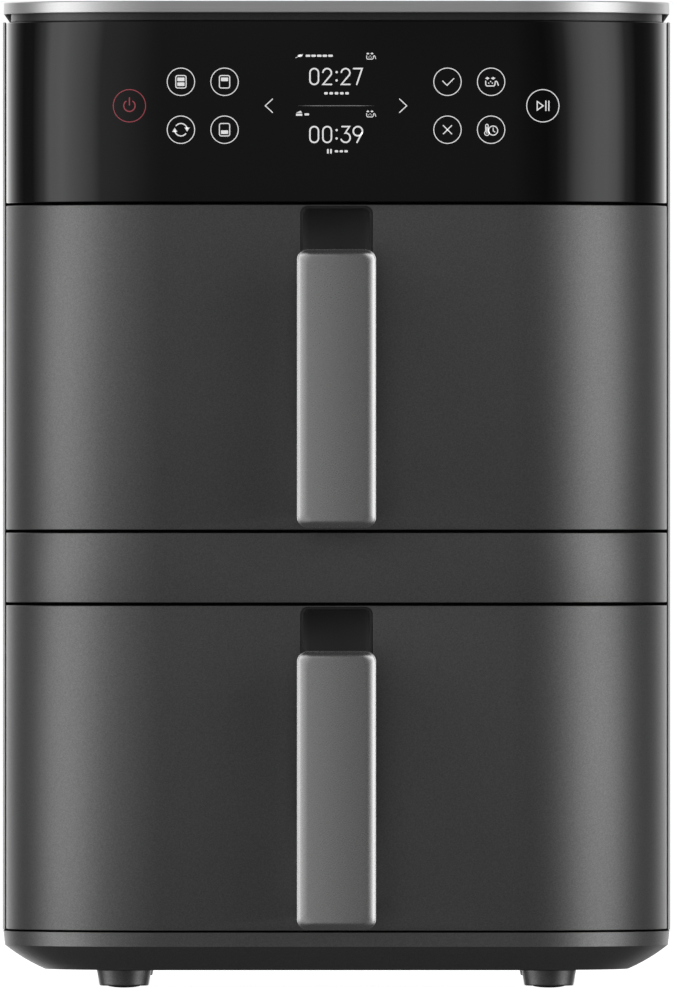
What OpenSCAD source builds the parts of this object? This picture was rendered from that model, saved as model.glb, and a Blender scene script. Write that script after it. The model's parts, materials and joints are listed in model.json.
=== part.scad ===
// Dual-zone air fryer with two stacked drawers.
// Front faces -Y, +Z is up. Origin: on the table, under the middle of the overall box.

/* [Overall] */
// Width across the two side panels (mm)
body_w = 280; // [240:1:330]
// Depth from the drawer faces to the rear wall spacers (mm)
body_d = 380; // [330:1:430]
// How far the handles stand out in front of the drawer faces (mm)
handle_out = 32; // [26:1:48]
// Plan radius of the two front corners (mm)
corner_r = 66; // [40:1:70]
// Plan radius of the two rear corners (mm)
rear_r = 30; // [16:1:40]
// How far the rear wall spacers stand out behind the rear cover (mm)
spacer_out = 10; // [6:1:16]

/* [Heights] */
// Height of the feet (mm)
foot_h = 7.7; // [5:0.1:14]
// Height of the bevelled underside of the base (mm)
bevel_h = 10; // [6:0.1:16]
// Height of the upright band of the base (mm)
band_h = 5.9; // [3:0.1:12]
// Gap between the base and the lower drawer front (mm)
base_gap = 0.8; // [0.5:0.1:2]
// Height of one drawer front (mm)
drawer_h = 135.6; // [120:0.1:150]
// Gap above and below the middle panel (mm)
panel_gap = 1.3; // [0.8:0.1:2.5]
// Height of the middle panel (mm)
mid_h = 29.1; // [20:0.1:40]
// Gap between the upper drawer front and the control glass (mm)
glass_gap = 1.1; // [0.6:0.1:2]
// Height of the control glass (mm)
glass_h = 75.7; // [60:0.1:90]
// Height of the recessed neck below the lid (mm)
neck_h = 3.2; // [2:0.1:6]
// Height of the lid plate (mm)
lid_h = 4.9; // [3:0.1:8]

/* [Front panels] */
// Width of the front panels, inside the side panels (mm)
panel_w = 276.6; // [236:0.1:326]
// Wall of the painted front panels (mm)
panel_t = 3; // [2:0.1:4]
// Wall of the control glass (mm)
glass_t = 2.4; // [2:0.1:4]
// Sheet thickness of the side panels (mm)
side_t = 1.25; // [0.8:0.05:2]

/* [Handles] */
// Width of the handle bar (mm)
handle_w = 33; // [24:0.5:45]
// Height of the handle bar (mm)
handle_h = 116.1; // [90:0.1:125]
// Thickness of the handle bar, front to back (mm)
handle_t = 13; // [9:0.5:18]
// Corner radius of the handle bar seen from the front (mm)
handle_r = 4.3; // [2:0.1:8]
// Rounding of the front edges of the handle bar (mm)
handle_edge_r = 5; // [2:0.1:6]
// Height of the handle foot above the lower edge of the drawer front (mm)
handle_lift = 0.8; // [0:0.1:10]
// Width of the finger recess (mm)
recess_w = 30.8; // [24:0.1:40]
// Depth of the finger recess behind the drawer face (mm)
recess_d = 20; // [12:0.5:24]
// Corner radius of the finger recess (mm)
recess_r = 3.4; // [1:0.1:6]

/* [Pans and trays] */
// Outside width of a pan (mm)
pan_w = 230; // [200:1:234]
// Outside length of a pan, front to back (mm)
pan_l = 218; // [180:1:220]
// Height of a pan (mm)
pan_h = 100; // [80:1:106]
// Wall of a pan (mm)
pan_t = 1.4; // [1:0.1:2.5]
// Corner radius of a pan (mm)
pan_r = 22; // [10:1:30]
// Width of the rim flange round a pan (mm)
rim_out = 4; // [2:0.1:4.4]
// Height of the crisper tray plate above the pan floor (mm)
tray_lift = 12; // [8:0.5:20]
// Sheet thickness of the crisper tray (mm)
tray_t = 1.6; // [1:0.1:2.5]

/* [Chambers and fans] */
// Outside width of a cooking chamber (mm)
chamber_w = 244; // [240:1:250]
// Outside height of a cooking chamber (mm)
chamber_h = 124; // [118:1:126]
// Depth of a cooking chamber (mm)
chamber_d = 192; // [186:1:194]
// Sheet thickness of a cooking chamber (mm)
chamber_t = 0.8; // [0.6:0.1:1.5]
// Radius of the hot-air impeller (mm)
impeller_r = 44; // [34:1:46]
// Radius of the heating ring, to the middle of its tube (mm)
heater_r = 51; // [48:0.5:53]
// Radius of the heating tube (mm)
heater_tube_r = 3.2; // [2.5:0.1:4]
// Radius of the fan shafts (mm)
shaft_r = 3; // [2:0.1:4]
// Radius of the fan motors (mm)
motor_r = 30; // [22:1:34]

/* [Rear] */
// Radius of the hole for the cord in its gland (mm)
cord_bore_r = 3.6; // [3:0.1:5]
// Distance of the cord gland from the middle of the rear (mm)
cord_x = 82; // [50:1:86]
// Height of the cord gland above the table (mm)
cord_z = 46; // [40:1:70]

/* [Hidden] */
$fn = 96;

// Levels up the front
z_base0 = foot_h;
z_band0 = z_base0 + bevel_h;
z_base1 = z_band0 + band_h;
z_low0 = z_base1 + base_gap;
z_mid0 = z_low0 + drawer_h + panel_gap;
z_up0 = z_mid0 + mid_h + panel_gap;
pitch = z_up0 - z_low0;
z_glass0 = z_up0 + drawer_h + glass_gap;
z_glass1 = z_glass0 + glass_h;
z_shell1 = z_glass1 + 0.3;
z_lid0 = z_shell1 + neck_h;
z_top = z_lid0 + lid_h;

// Planes front to back
y_front = handle_out - (body_d + handle_out) / 2;
y_corner = y_front + corner_r;
y_rear = y_front + body_d;
y_shell = y_rear - spacer_out;
y_side0 = y_corner + 2;
y_panel1 = y_corner + 6;
bulk_y0 = y_panel1 + 3;
bulk_t = 4;
ch_y0 = bulk_y0 + bulk_t;
ch_y1 = ch_y0 + chamber_d;
pan_y0 = y_front + 44;
pan_y1 = pan_y0 + pan_l;

// Side to side
hw = body_w / 2;
panel_hw = panel_w / 2;
ch_hw = chamber_w / 2;
pan_hw = pan_w / 2;

// One zone, measured for the lower one
ch_z0 = z_low0 + 6.2;
ch_z1 = ch_z0 + chamber_h;
fan_z = (ch_z0 + ch_z1) / 2;
pan_z0 = z_low0 + 9;
pan_z1 = pan_z0 + pan_h;
tray_z0 = pan_z0 + pan_t + tray_lift;
tray_rim_h = 5;
tray_gap = 1.2;
tray_hw = pan_hw - pan_t - tray_gap;
tray_y0 = pan_y0 + pan_t + tray_gap;
tray_y1 = pan_y1 - pan_t - tray_gap;
tray_r = pan_r - pan_t - tray_gap;

// Fan line, front to back, behind the chamber
guard_t = 1;
guard_y0 = ch_y1 - chamber_t - guard_t;
heater_y = ch_y1 + 6;
rotor_y0 = ch_y1 + 12;
rotor_l = 16;
pot_r = 60;
pot_t = 1.2;
pot_y1 = rotor_y0 + rotor_l + 8;
motor_y0 = pot_y1 + 8;
motor_l = 30;
fan2_y0 = motor_y0 + motor_l + 6;
fan2_l = 10;
shaft_y0 = rotor_y0 - 2;
shaft_y1 = fan2_y0 + fan2_l;
cover_t = 2.4;
cover_y0 = y_shell - side_t - cover_t;
cover_y1 = cover_y0 + cover_t;
cover_hw = hw - rear_r - 2;

// Feet
foot_x = 88.9;
foot_y0 = y_front + 46;
foot_y1 = y_shell - 40;

// Colours
c_paint = [0.20, 0.20, 0.21];
c_side = [0.42, 0.42, 0.44];
c_glass = [0.03, 0.03, 0.035];
c_black = [0.05, 0.05, 0.05];
c_dark = [0.12, 0.12, 0.12];
c_steel = [0.68, 0.68, 0.66];
c_sheet = [0.55, 0.56, 0.58];
c_handle = [0.36, 0.36, 0.37];
c_rubber = [0.08, 0.08, 0.08];
c_silicone = [0.55, 0.16, 0.12];
c_coat = [0.10, 0.10, 0.11];
c_board = [0.05, 0.30, 0.16];
c_wool = [0.80, 0.76, 0.62];

// ---------- plan outlines ----------

// Outline round at the front corners only, cut off straight at yb
module front_outline(half, r, yf, yb) {
    yc = yf + r;
    intersection() {
        union() {
            translate([-half, yc]) square([2 * half, yb - yc]);
            translate([r - half, yf]) square([2 * (half - r), yb - yf]);
            for (s = [-1, 1]) translate([s * (half - r), yc]) circle(r);
        }
        translate([-2 * half, yf - 1]) square([4 * half, yb - yf + 1]);
    }
}

// Outline round at all four corners
module full_outline(half, rf, rr, yf, yr) {
    ym = (yf + yr) / 2;
    translate([-half, yf + rf]) square([2 * half, yr - rr - yf - rf]);
    translate([rf - half, yf]) square([2 * (half - rf), ym - yf]);
    translate([rr - half, ym - 1]) square([2 * (half - rr), yr - ym + 1]);
    for (s = [-1, 1]) translate([s * (half - rf), yf + rf]) circle(rf);
    for (s = [-1, 1]) translate([s * (half - rr), yr - rr]) circle(rr);
}

// Plan of the front panels, drawn in by inset
module panel_outline(inset, yb) {
    front_outline(panel_hw - inset, corner_r - inset, y_front + inset, yb);
}

// Whole-body plan, drawn in by inset
module body_outline(inset) {
    full_outline(hw - inset, corner_r - inset, rear_r - inset, y_front + inset, y_shell - inset);
}

// Rounded rectangle, middle of its lower edge at the origin
module rounded_rect(w, h, r) {
    translate([-w / 2, r]) square([w, h - 2 * r]);
    translate([r - w / 2, 0]) square([w - 2 * r, h]);
    for (sx = [-1, 1]) for (sy = [0, 1])
        translate([sx * (w / 2 - r), r + sy * (h - 2 * r)]) circle(r);
}

// Stand a flat shape up facing -Y: its thickness runs from y0 to y0 + t
module upright(y0, t) {
    translate([0, y0 + t, 0]) rotate([90, 0, 0]) linear_extrude(t) children();
}

// Cylinder lying along Y from y0 to y1
module rod_y(x, z, r, y0, y1) {
    translate([x, y1, z]) rotate([90, 0, 0]) cylinder(r = r, h = y1 - y0);
}

// Box given by its two corners
module block(a, b) {
    translate(a) cube([b[0] - a[0], b[1] - a[1], b[2] - a[2]]);
}

// Hollow front panel between two levels
module front_shell(z0, h, inset, t, yb) {
    translate([0, 0, z0]) linear_extrude(h) difference() {
        panel_outline(inset, yb);
        panel_outline(inset + t, yb + 1);
    }
}

// ---------- base and feet ----------

// Edge of the base seen along it: depth is the distance to the theoretical outer wall
base_in_top = 0.4;
base_in_band = 1;
base_in_foot = 17.6;
arc_steps = 6;
arc_turn = 15;
chord_a = atan2(bevel_h, base_in_foot - base_in_band);
arc_rad = norm([bevel_h, base_in_foot - base_in_band]) / (2 * sin(arc_turn / 2));
arc_a0 = -90 + chord_a - arc_turn / 2;
function base_edge_point(depth, i) = let (a = arc_a0 + arc_turn * i / arc_steps)
    [depth - base_in_foot + arc_rad * (cos(a) - cos(arc_a0)),
     z_base0 + arc_rad * (sin(a) - sin(arc_a0))];
function base_profile(depth) = concat(
    [[0, z_base0]],
    [for (i = [0 : arc_steps]) base_edge_point(depth, i)],
    [[depth - base_in_top, z_base1], [0, z_base1]]);

base_yf = y_front - base_in_top;
base_rf = corner_r + base_in_top;
base_yr = y_shell + base_in_top;
base_rr = rear_r;

// Straight run of the base edge, outward +X, from y = -len to 0
module base_run(len, depth) {
    rotate([90, 0, 0]) linear_extrude(len) polygon(base_profile(depth));
}

module base_corner(depth) {
    rotate_extrude(angle = 90) polygon(base_profile(depth));
}

module base_solid() {
    fx = hw - base_rf;
    fy = base_yf + base_rf;
    rx = hw - base_rr;
    ry = base_yr - base_rr;
    block([-fx, fy, z_base0], [fx, ry, z_base1]);
    translate([fx, ry, 0]) base_run(ry - fy, base_rf);
    translate([-fx, fy, 0]) rotate([0, 0, 180]) base_run(ry - fy, base_rf);
    translate([fx, fy, 0]) rotate([0, 0, -90]) base_run(2 * fx, base_rf);
    translate([-rx, ry, 0]) rotate([0, 0, 90]) base_run(2 * rx, base_rr);
    translate([fx, fy, 0]) rotate([0, 0, -90]) base_corner(base_rf);
    translate([-fx, fy, 0]) rotate([0, 0, 180]) base_corner(base_rf);
    translate([-rx, ry, 0]) rotate([0, 0, 90]) base_corner(base_rr);
    translate([rx, ry, 0]) base_corner(base_rr);
}

base_screw_x = 60;
base_screw_ys = [y_front + 110, y_front + 290];
screw_r = 1.5;
screw_hole_r = 1.9;
screw_head_r = 3.5;
drive_hl = 2;
drive_hw = 0.4;
vent_n = 6;
vent_hw = 30;
vent_w = 3;
vent_step = 9;
vent_y0 = y_front + 170;
base_floor = 4;
base_wall = 6;
base_low_wall = 16;

module base_tray() {
    color(c_paint) difference() {
        base_solid();
        translate([0, 0, z_base0 + base_floor]) linear_extrude(bevel_h - base_floor)
            body_outline(base_low_wall);
        translate([0, 0, z_band0 - 0.1]) linear_extrude(band_h + 1) body_outline(base_wall);
        for (sx = [-1, 1]) for (y = base_screw_ys) translate([sx * base_screw_x, y, z_base0 - 1]) {
            cylinder(r = screw_head_r + 0.5, h = 3);
            cylinder(r = screw_hole_r, h = base_floor + 2);
        }
        for (i = [0 : vent_n - 1])
            block([-vent_hw, vent_y0 + vent_step * i, z_base0 - 1],
                  [vent_hw, vent_y0 + vent_step * i + vent_w, z_base0 + base_floor + 1]);
    }
}

foot_top_r = 11.5;
foot_low_r = 10.25;
pad_r = 7.5;
pad_tip_r = 4;
pad_h = 2.4;
pad_free = 0.9;

module at_feet() {
    for (sx = [-1, 1]) for (y = [foot_y0, foot_y1]) translate([sx * foot_x, y, 0]) children();
}

module feet() {
    color(c_paint) at_feet() difference() {
        translate([0, 0, pad_free]) cylinder(r1 = foot_low_r, r2 = foot_top_r, h = foot_h - pad_free);
        cylinder(r = pad_r + 0.1, h = pad_h + 0.1);
    }
}

module foot_pads() {
    color(c_rubber) at_feet() union() {
        cylinder(r1 = pad_tip_r, r2 = pad_r - 0.4, h = pad_free);
        translate([0, 0, pad_free]) cylinder(r = pad_r - 0.4, h = pad_h - pad_free);
    }
}

module base_screws() {
    color(c_sheet) for (sx = [-1, 1]) for (y = base_screw_ys) translate([sx * base_screw_x, y, z_base0])
        difference() {
            union() {
                translate([0, 0, 0.3]) cylinder(r = screw_head_r, h = 1.6);
                translate([0, 0, 1.8]) cylinder(r = screw_r, h = 6);
            }
            for (a = [0, 90]) rotate([0, 0, a])
                block([-drive_hl, -drive_hw, 0], [drive_hl, drive_hw, 1.1]);
        }
}

// ---------- outer skin ----------

module side_panel_right() {
    color(c_side) translate([0, 0, z_base1 + 0.3]) linear_extrude(z_shell1 - z_base1 - 0.3)
        intersection() {
            difference() {
                body_outline(0);
                body_outline(side_t);
            }
            translate([cover_hw - 4, y_side0]) square([hw, body_d]);
        }
}

module side_panel_left() {
    mirror([1, 0, 0]) side_panel_right();
}

cover_z0 = z_base1 + 0.4;
cover_z1 = z_shell1 - 4;
cover_screw_x = cover_hw - 10;
cover_screw_zs = [40, 145, 250, 390];
louvre_n = 9;
louvre_w = 3;
louvre_hw = 34;
louvre_step = 8;
top_louvre_n = 5;
top_louvre_z = 352;
top_louvre_hw = 30;
spacer_x = 78;
spacer_z = 356;
spacer_r = 11;
spacer_tip_r = 8;
gland_r = 8;
gland_flange_r = 11;
gland_nose_r = 6.2;

// Opening through the rear cover: half-width and lower edge
module louvre(half, z) {
    block([-half, cover_y0 - 1, z], [half, cover_y1 + 1, z + louvre_w]);
}

module rear_cover() {
    color(c_dark) difference() {
        block([-cover_hw, cover_y0, cover_z0], [cover_hw, cover_y1, cover_z1]);
        for (dz = [0, pitch]) for (i = [0 : louvre_n - 1])
            louvre(louvre_hw, fan_z + dz + louvre_step * (i - (louvre_n - 1) / 2) - louvre_w / 2);
        for (i = [0 : top_louvre_n - 1]) louvre(top_louvre_hw, top_louvre_z + louvre_step * i);
        rod_y(cord_x, cord_z, gland_r + 0.1, cover_y0 - 1, cover_y1 + 1);
        for (sx = [-1, 1]) for (z = cover_screw_zs)
            rod_y(sx * cover_screw_x, z, screw_hole_r, cover_y0 - 1, cover_y1 + 1);
    }
}

module cover_screws() {
    color(c_sheet) for (sx = [-1, 1]) for (z = cover_screw_zs) difference() {
        union() {
            rod_y(sx * cover_screw_x, z, screw_head_r, cover_y1, cover_y1 + 1.8);
            rod_y(sx * cover_screw_x, z, screw_r, cover_y0 - 8, cover_y1 + 0.1);
        }
        for (a = [0, 90]) translate([sx * cover_screw_x, cover_y1 + 0.8, z]) rotate([0, a, 0])
            block([-drive_hl, 0, -drive_hw], [drive_hl, 2, drive_hw]);
    }
}

module rear_spacers() {
    color(c_rubber) for (sx = [-1, 1]) union() {
        rod_y(sx * spacer_x, spacer_z, spacer_r, cover_y1, y_rear - 2);
        rod_y(sx * spacer_x, spacer_z, spacer_tip_r, y_rear - 2.1, y_rear);
    }
}

module cord_gland() {
    color(c_black) difference() {
        union() {
            rod_y(cord_x, cord_z, gland_r, cover_y0 - 5, cover_y1 + 0.1);
            rod_y(cord_x, cord_z, gland_flange_r, cover_y1, cover_y1 + 2.5);
            rod_y(cord_x, cord_z, gland_nose_r, cover_y1 + 2.4, y_rear - 1);
        }
        rod_y(cord_x, cord_z, cord_bore_r, cover_y0 - 6, y_rear);
    }
}

lid_in = 0.5;
lid_t = 1;
neck_in = 3.6;
deck_low_in = 6;
deck_z0 = z_shell1 - 6;
deck_wall = 2.6;
deck_roof = 2.4;

module top_plate() {
    color(c_steel) difference() {
        translate([0, 0, z_lid0]) linear_extrude(lid_h) body_outline(lid_in);
        translate([0, 0, z_lid0 - 1]) linear_extrude(lid_h - lid_t + 1) body_outline(lid_in + lid_t);
    }
}

module top_deck() {
    color(c_black) difference() {
        union() {
            translate([0, 0, deck_z0]) linear_extrude(7) body_outline(deck_low_in);
            translate([0, 0, z_shell1]) linear_extrude(z_top - lid_t - z_shell1) body_outline(neck_in);
        }
        translate([0, 0, deck_z0 - 1]) linear_extrude(z_top - lid_t - deck_roof - deck_z0 + 1)
            body_outline(deck_low_in + deck_wall);
    }
}

// ---------- control panel ----------

display_hw = 33;
display_z = 369;
display_hh = 17;
fascia_t = 2.2;
board_hw = 92;
board_hole_x = 86;

module control_glass() {
    color(c_glass) front_shell(z_glass0, glass_h, 0, glass_t, y_panel1);
}

module fascia_frame() {
    color(c_dark) difference() {
        front_shell(z_glass0 + 1, deck_z0 - 0.4 - z_glass0 - 1, glass_t, fascia_t, y_panel1 - 1);
        block([-display_hw - 0.5, y_front, display_z - display_hh - 0.5],
              [display_hw + 0.5, y_front + 20, display_z + display_hh + 0.5]);
    }
}

module display_module() {
    color(c_board) block([-display_hw, y_front + glass_t + 0.3, display_z - display_hh],
                         [display_hw, y_front + 10.4, display_z + display_hh]);
}

module touch_board() {
    color(c_board) difference() {
        block([-board_hw, y_front + 10.6, z_glass0 + 6], [board_hw, y_front + 12.2, z_glass1 - 8]);
        for (sx = [-1, 1]) for (z = [z_glass0 + 11, z_glass1 - 12.7])
            rod_y(sx * board_hole_x, z, 1.7, y_front + 10, y_front + 13);
    }
}

// ---------- front and bulkhead ----------

module middle_panel() {
    color(c_paint) front_shell(z_mid0, mid_h, 0, panel_t, y_panel1);
}

mouth_hw = ch_hw - chamber_t;
mouth_z0 = ch_z0 + chamber_t;
mouth_z1 = ch_z1 - chamber_t;
bulk_z0 = z_base1 + 0.4;
bulk_z1 = deck_z0 - 1;
switch_x = 129;
plunger_r = 1.6;
gasket_w = 3.6;
gasket_in = 0.4;

module front_bulkhead() {
    color(c_black) difference() {
        block([side_t + 0.2 - hw, bulk_y0, bulk_z0], [hw - side_t - 0.2, ch_y0, bulk_z1]);
        for (dz = [0, pitch])
            block([-mouth_hw, bulk_y0 - 1, mouth_z0 + dz], [mouth_hw, ch_y0 + 1, mouth_z1 + dz]);
        block([-50, bulk_y0 - 1, display_z - 18], [50, ch_y0 + 1, display_z + 18]);
        for (dz = [0, pitch]) rod_y(switch_x, fan_z + dz, plunger_r + 0.6, bulk_y0 - 1, ch_y0 + 1);
    }
}

module mouth_gaskets() {
    color(c_silicone) for (dz = [0, pitch]) difference() {
        block([-mouth_hw - gasket_w, bulk_y0 - 2.6, mouth_z0 - gasket_w + dz],
              [mouth_hw + gasket_w, bulk_y0, mouth_z1 + gasket_w + dz]);
        block([-mouth_hw - gasket_in, bulk_y0 - 3, mouth_z0 - gasket_in + dz],
              [mouth_hw + gasket_in, bulk_y0 + 1, mouth_z1 + gasket_in + dz]);
    }
}

module interlock_switches() {
    color(c_dark) for (dz = [0, pitch]) union() {
        block([switch_x - 5, ch_y0, fan_z + dz - 10], [switch_x + 5, ch_y0 + 16, fan_z + dz + 10]);
        rod_y(switch_x, fan_z + dz, plunger_r, bulk_y0 - 2.4, ch_y0 + 0.1);
    }
}

// ---------- chambers ----------

guard_hole_r = 56;
sensor_x = 95;
sensor_dz = 52;

module chamber(dz) {
    color(c_sheet) difference() {
        block([-ch_hw, ch_y0, ch_z0 + dz], [ch_hw, ch_y1, ch_z1 + dz]);
        block([chamber_t - ch_hw, ch_y0 - 1, ch_z0 + chamber_t + dz],
              [ch_hw - chamber_t, ch_y1 - chamber_t, ch_z1 - chamber_t + dz]);
        rod_y(0, fan_z + dz, guard_hole_r, ch_y1 - 2, ch_y1 + 1);
        rod_y(sensor_x, fan_z + sensor_dz + dz, 2.7, ch_y1 - 2, ch_y1 + 1);
    }
}

module lower_chamber() { chamber(0); }
module upper_chamber() { chamber(pitch); }

rail_z1 = pan_z1 - 2 - 0.8;

module drawer_rails() {
    color(c_sheet) for (dz = [0, pitch]) for (s = [-1, 1])
        block([s > 0 ? pan_hw + 1.2 : chamber_t - ch_hw, ch_y0 + 2, rail_z1 - 4 + dz],
              [s > 0 ? ch_hw - chamber_t : -pan_hw - 1.2, ch_y1 - 4, rail_z1 + dz]);
}

wool_t = 12;

module mid_insulation() {
    color(c_wool) block([4 - ch_hw, ch_y0 + 5, ch_z1], [ch_hw - 4, ch_y1 - 5, ch_z1 + wool_t]);
}

shield_z0 = ch_z1 + pitch + 4;
post_x = 70;
post_ys = [ch_y0 + 40, ch_y0 + 180];
post_h = 9;

module heat_shield() {
    color(c_sheet) union() {
        block([4 - hw, ch_y0 + 1, shield_z0], [hw - 4, cover_y0 - 20, shield_z0 + 1.2]);
        for (sx = [-1, 1]) for (y = post_ys) translate([sx * post_x, y, shield_z0 + 1.1])
            cylinder(r = 3.5, h = post_h);
    }
}

// ---------- hot-air fans ----------

module fan_guard(dz) {
    color(c_sheet) difference() {
        rod_y(0, fan_z + dz, guard_hole_r + 3.5, guard_y0, guard_y0 + guard_t);
        for (a = [0 : 30 : 330]) translate([0, 0, fan_z + dz]) rotate([0, a, 0])
            block([-2.5, guard_y0 - 1, 20], [2.5, guard_y0 + guard_t + 1, 50]);
        for (a = [0 : 60 : 300]) translate([0, 0, fan_z + dz]) rotate([0, a + 15, 0])
            block([-2, guard_y0 - 1, 7], [2, guard_y0 + guard_t + 1, 15]);
    }
}

module lower_fan_guard() { fan_guard(0); }
module upper_fan_guard() { fan_guard(pitch); }

leg_dx = 7;
leg_r = 2.6;
leg_drop = sqrt(heater_r * heater_r - leg_dx * leg_dx);

module heater(dz) {
    z = fan_z + dz;
    color(c_coat) union() {
        translate([0, heater_y, z]) rotate([90, 0, 0]) rotate_extrude()
            translate([heater_r, 0]) circle(heater_tube_r);
        for (s = [-1, 1]) rod_y(s * leg_dx, z - leg_drop, leg_r, heater_y, pot_y1 + 6);
    }
}

module lower_heater() { heater(0); }
module upper_heater() { heater(pitch); }

motor_post_r = 3;
motor_post_ring = 26;

module fan_housing(dz) {
    z = fan_z + dz;
    color(c_sheet) difference() {
        union() {
            rod_y(0, z, pot_r, ch_y1, pot_y1);
            for (a = [45 : 90 : 315]) rod_y(motor_post_ring * cos(a), z + motor_post_ring * sin(a),
                motor_post_r, pot_y1 - 0.1, motor_y0);
        }
        rod_y(0, z, pot_r - pot_t, ch_y1 - 1, pot_y1 - pot_t);
        rod_y(0, z, 8, pot_y1 - 3, pot_y1 + 1);
        for (s = [-1, 1]) rod_y(s * leg_dx, z - leg_drop, leg_r + 0.8, pot_y1 - 3, pot_y1 + 1);
    }
}

module lower_fan_housing() { fan_housing(0); }
module upper_fan_housing() { fan_housing(pitch); }

module motor(dz) {
    z = fan_z + dz;
    color(c_dark) difference() {
        union() {
            rod_y(0, z, motor_r, motor_y0, motor_y0 + motor_l);
            rod_y(0, z, 10, motor_y0 - 4, motor_y0 + motor_l + 3);
        }
        rod_y(0, z, shaft_r + 0.6, motor_y0 - 6, motor_y0 + motor_l + 5);
        for (a = [0 : 45 : 315]) translate([0, 0, z]) rotate([0, a, 0])
            block([-1.5, motor_y0 + 5, motor_r - 3], [1.5, motor_y0 + motor_l - 5, motor_r + 1]);
    }
}

module lower_motor() { motor(0); }
module upper_motor() { motor(pitch); }

module shaft(dz) {
    color(c_steel) rod_y(0, fan_z + dz, shaft_r, shaft_y0, shaft_y1);
}

module lower_shaft() { shaft(0); }
module upper_shaft() { shaft(pitch); }

blade_n = 12;
blade_t = 1.2;
blade_in = 20;
hub_r = 8;

module rotor(dz) {
    color(c_sheet) translate([0, 0, fan_z + dz]) difference() {
        union() {
            rod_y(0, 0, hub_r, rotor_y0, rotor_y0 + rotor_l);
            rod_y(0, 0, impeller_r, rotor_y0 + rotor_l - 1, rotor_y0 + rotor_l);
            for (i = [0 : blade_n - 1]) rotate([0, i * 360 / blade_n, 0])
                block([-blade_t / 2, rotor_y0, blade_in],
                      [blade_t / 2, rotor_y0 + rotor_l - 0.5, impeller_r - 0.5]);
        }
        rod_y(0, 0, shaft_r, rotor_y0 - 1, rotor_y0 + rotor_l + 1);
    }
}

module lower_rotor() { rotor(0); }
module upper_rotor() { rotor(pitch); }

fan2_blades = 7;
fan2_r = 40;
fan2_hub_r = 11;
fan2_pitch = 35;

module cooling_fan(dz) {
    color(c_black) translate([0, 0, fan_z + dz]) difference() {
        union() {
            rod_y(0, 0, fan2_hub_r, fan2_y0, fan2_y0 + fan2_l);
            for (i = [0 : fan2_blades - 1]) rotate([0, i * 360 / fan2_blades, 0])
                translate([0, fan2_y0 + fan2_l / 2, 0]) rotate([0, 0, fan2_pitch])
                block([-6, -0.8, fan2_hub_r - 2], [6, 0.8, fan2_r]);
        }
        rod_y(0, 0, shaft_r, fan2_y0 - 1, fan2_y0 + fan2_l + 1);
    }
}

module lower_cooling_fan() { cooling_fan(0); }
module upper_cooling_fan() { cooling_fan(pitch); }

module temp_sensors() {
    color(c_steel) for (dz = [0, pitch]) union() {
        rod_y(sensor_x, fan_z + sensor_dz + dz, 2.2, ch_y1 - 12, ch_y1 + 6);
        rod_y(sensor_x, fan_z + sensor_dz + dz, 4, ch_y1, ch_y1 + 3);
    }
}

// ---------- electronics ----------

board_z0 = shield_z0 + 1.1 + post_h;
board_t = 1.6;

module power_board() {
    color(c_board) difference() {
        block([-80, ch_y0 + 30, board_z0], [80, ch_y0 + 190, board_z0 + board_t]);
        for (sx = [-1, 1]) for (y = post_ys) translate([sx * post_x, y, board_z0 - 1])
            cylinder(r = 1.6, h = 4);
    }
}

module board_parts() {
    z = board_z0 + board_t;
    color(c_dark) {
        for (x = [-60, -35]) block([x, ch_y0 + 50, z], [x + 18, ch_y0 + 64, z + 16]);
        block([-60, ch_y0 + 80, z], [-28, ch_y0 + 108, z + 26]);
        translate([-44, ch_y0 + 130, z]) cylinder(r = 9, h = 22);
        translate([-20, ch_y0 + 130, z]) cylinder(r = 6, h = 16);
        block([20, ch_y0 + 130, z], [50, ch_y0 + 144, z + 10]);
        union() {
            block([15, ch_y0 + 60, z], [60, ch_y0 + 100, z + 3]);
            for (i = [0 : 5])
                block([15 + i * 8.6, ch_y0 + 60, z + 2.9], [17 + i * 8.6, ch_y0 + 100, z + 26]);
        }
    }
}

// ---------- drawers ----------

cut_z0 = z_low0 + 5;
cut_z1 = z_low0 + drawer_h - 0.3;
cup_t = 1.2;
cup_gap = 0.2;

module recess_shape(grow) {
    translate([0, cut_z0 - grow]) rounded_rect(recess_w + 2 * grow, cut_z1 - cut_z0 + 2 * grow,
        recess_r + grow);
}

module drawer_front(dz) {
    color(c_paint) translate([0, 0, dz]) difference() {
        front_shell(z_low0, drawer_h, 0, panel_t, y_panel1);
        upright(y_front - 1, panel_t + 2) recess_shape(0);
    }
}

module lower_drawer_front() { drawer_front(0); }
module upper_drawer_front() { drawer_front(pitch); }

liner_t = 2;
liner_z0 = z_low0 + 1.6;
liner_z1 = z_low0 + drawer_h - 1.6;
liner_y1 = y_panel1 - 0.2;

module liner(dz) {
    color(c_black) translate([0, 0, dz]) difference() {
        translate([0, 0, liner_z0]) linear_extrude(liner_z1 - liner_z0)
            panel_outline(panel_t + 0.1, liner_y1);
        translate([0, 0, liner_z0 + liner_t]) linear_extrude(liner_z1 - liner_z0 - 2 * liner_t)
            panel_outline(panel_t + 0.1 + liner_t, liner_y1 - 3.5);
        block([-pan_hw - rim_out - 0.8, pan_y0 + 2, pan_z0 - 0.8],
              [pan_hw + rim_out + 0.8, y_panel1 + 1, pan_z1 + 0.8]);
        upright(y_front, recess_d) recess_shape(-0.1);
    }
}

module lower_liner() { liner(0); }
module upper_liner() { liner(pitch); }

module finger_cup(dz) {
    color(c_black) translate([0, 0, dz]) difference() {
        upright(y_front + 0.4, recess_d - 0.4) recess_shape(-cup_gap);
        upright(y_front - 1, recess_d + 1 - cup_t) recess_shape(-cup_gap - cup_t);
        for (z = handle_screw_zs)
            rod_y(0, z, 2.1, y_front + recess_d - 3, y_front + recess_d + 1);
    }
}

module lower_finger_cup() { finger_cup(0); }
module upper_finger_cup() { finger_cup(pitch); }

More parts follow.
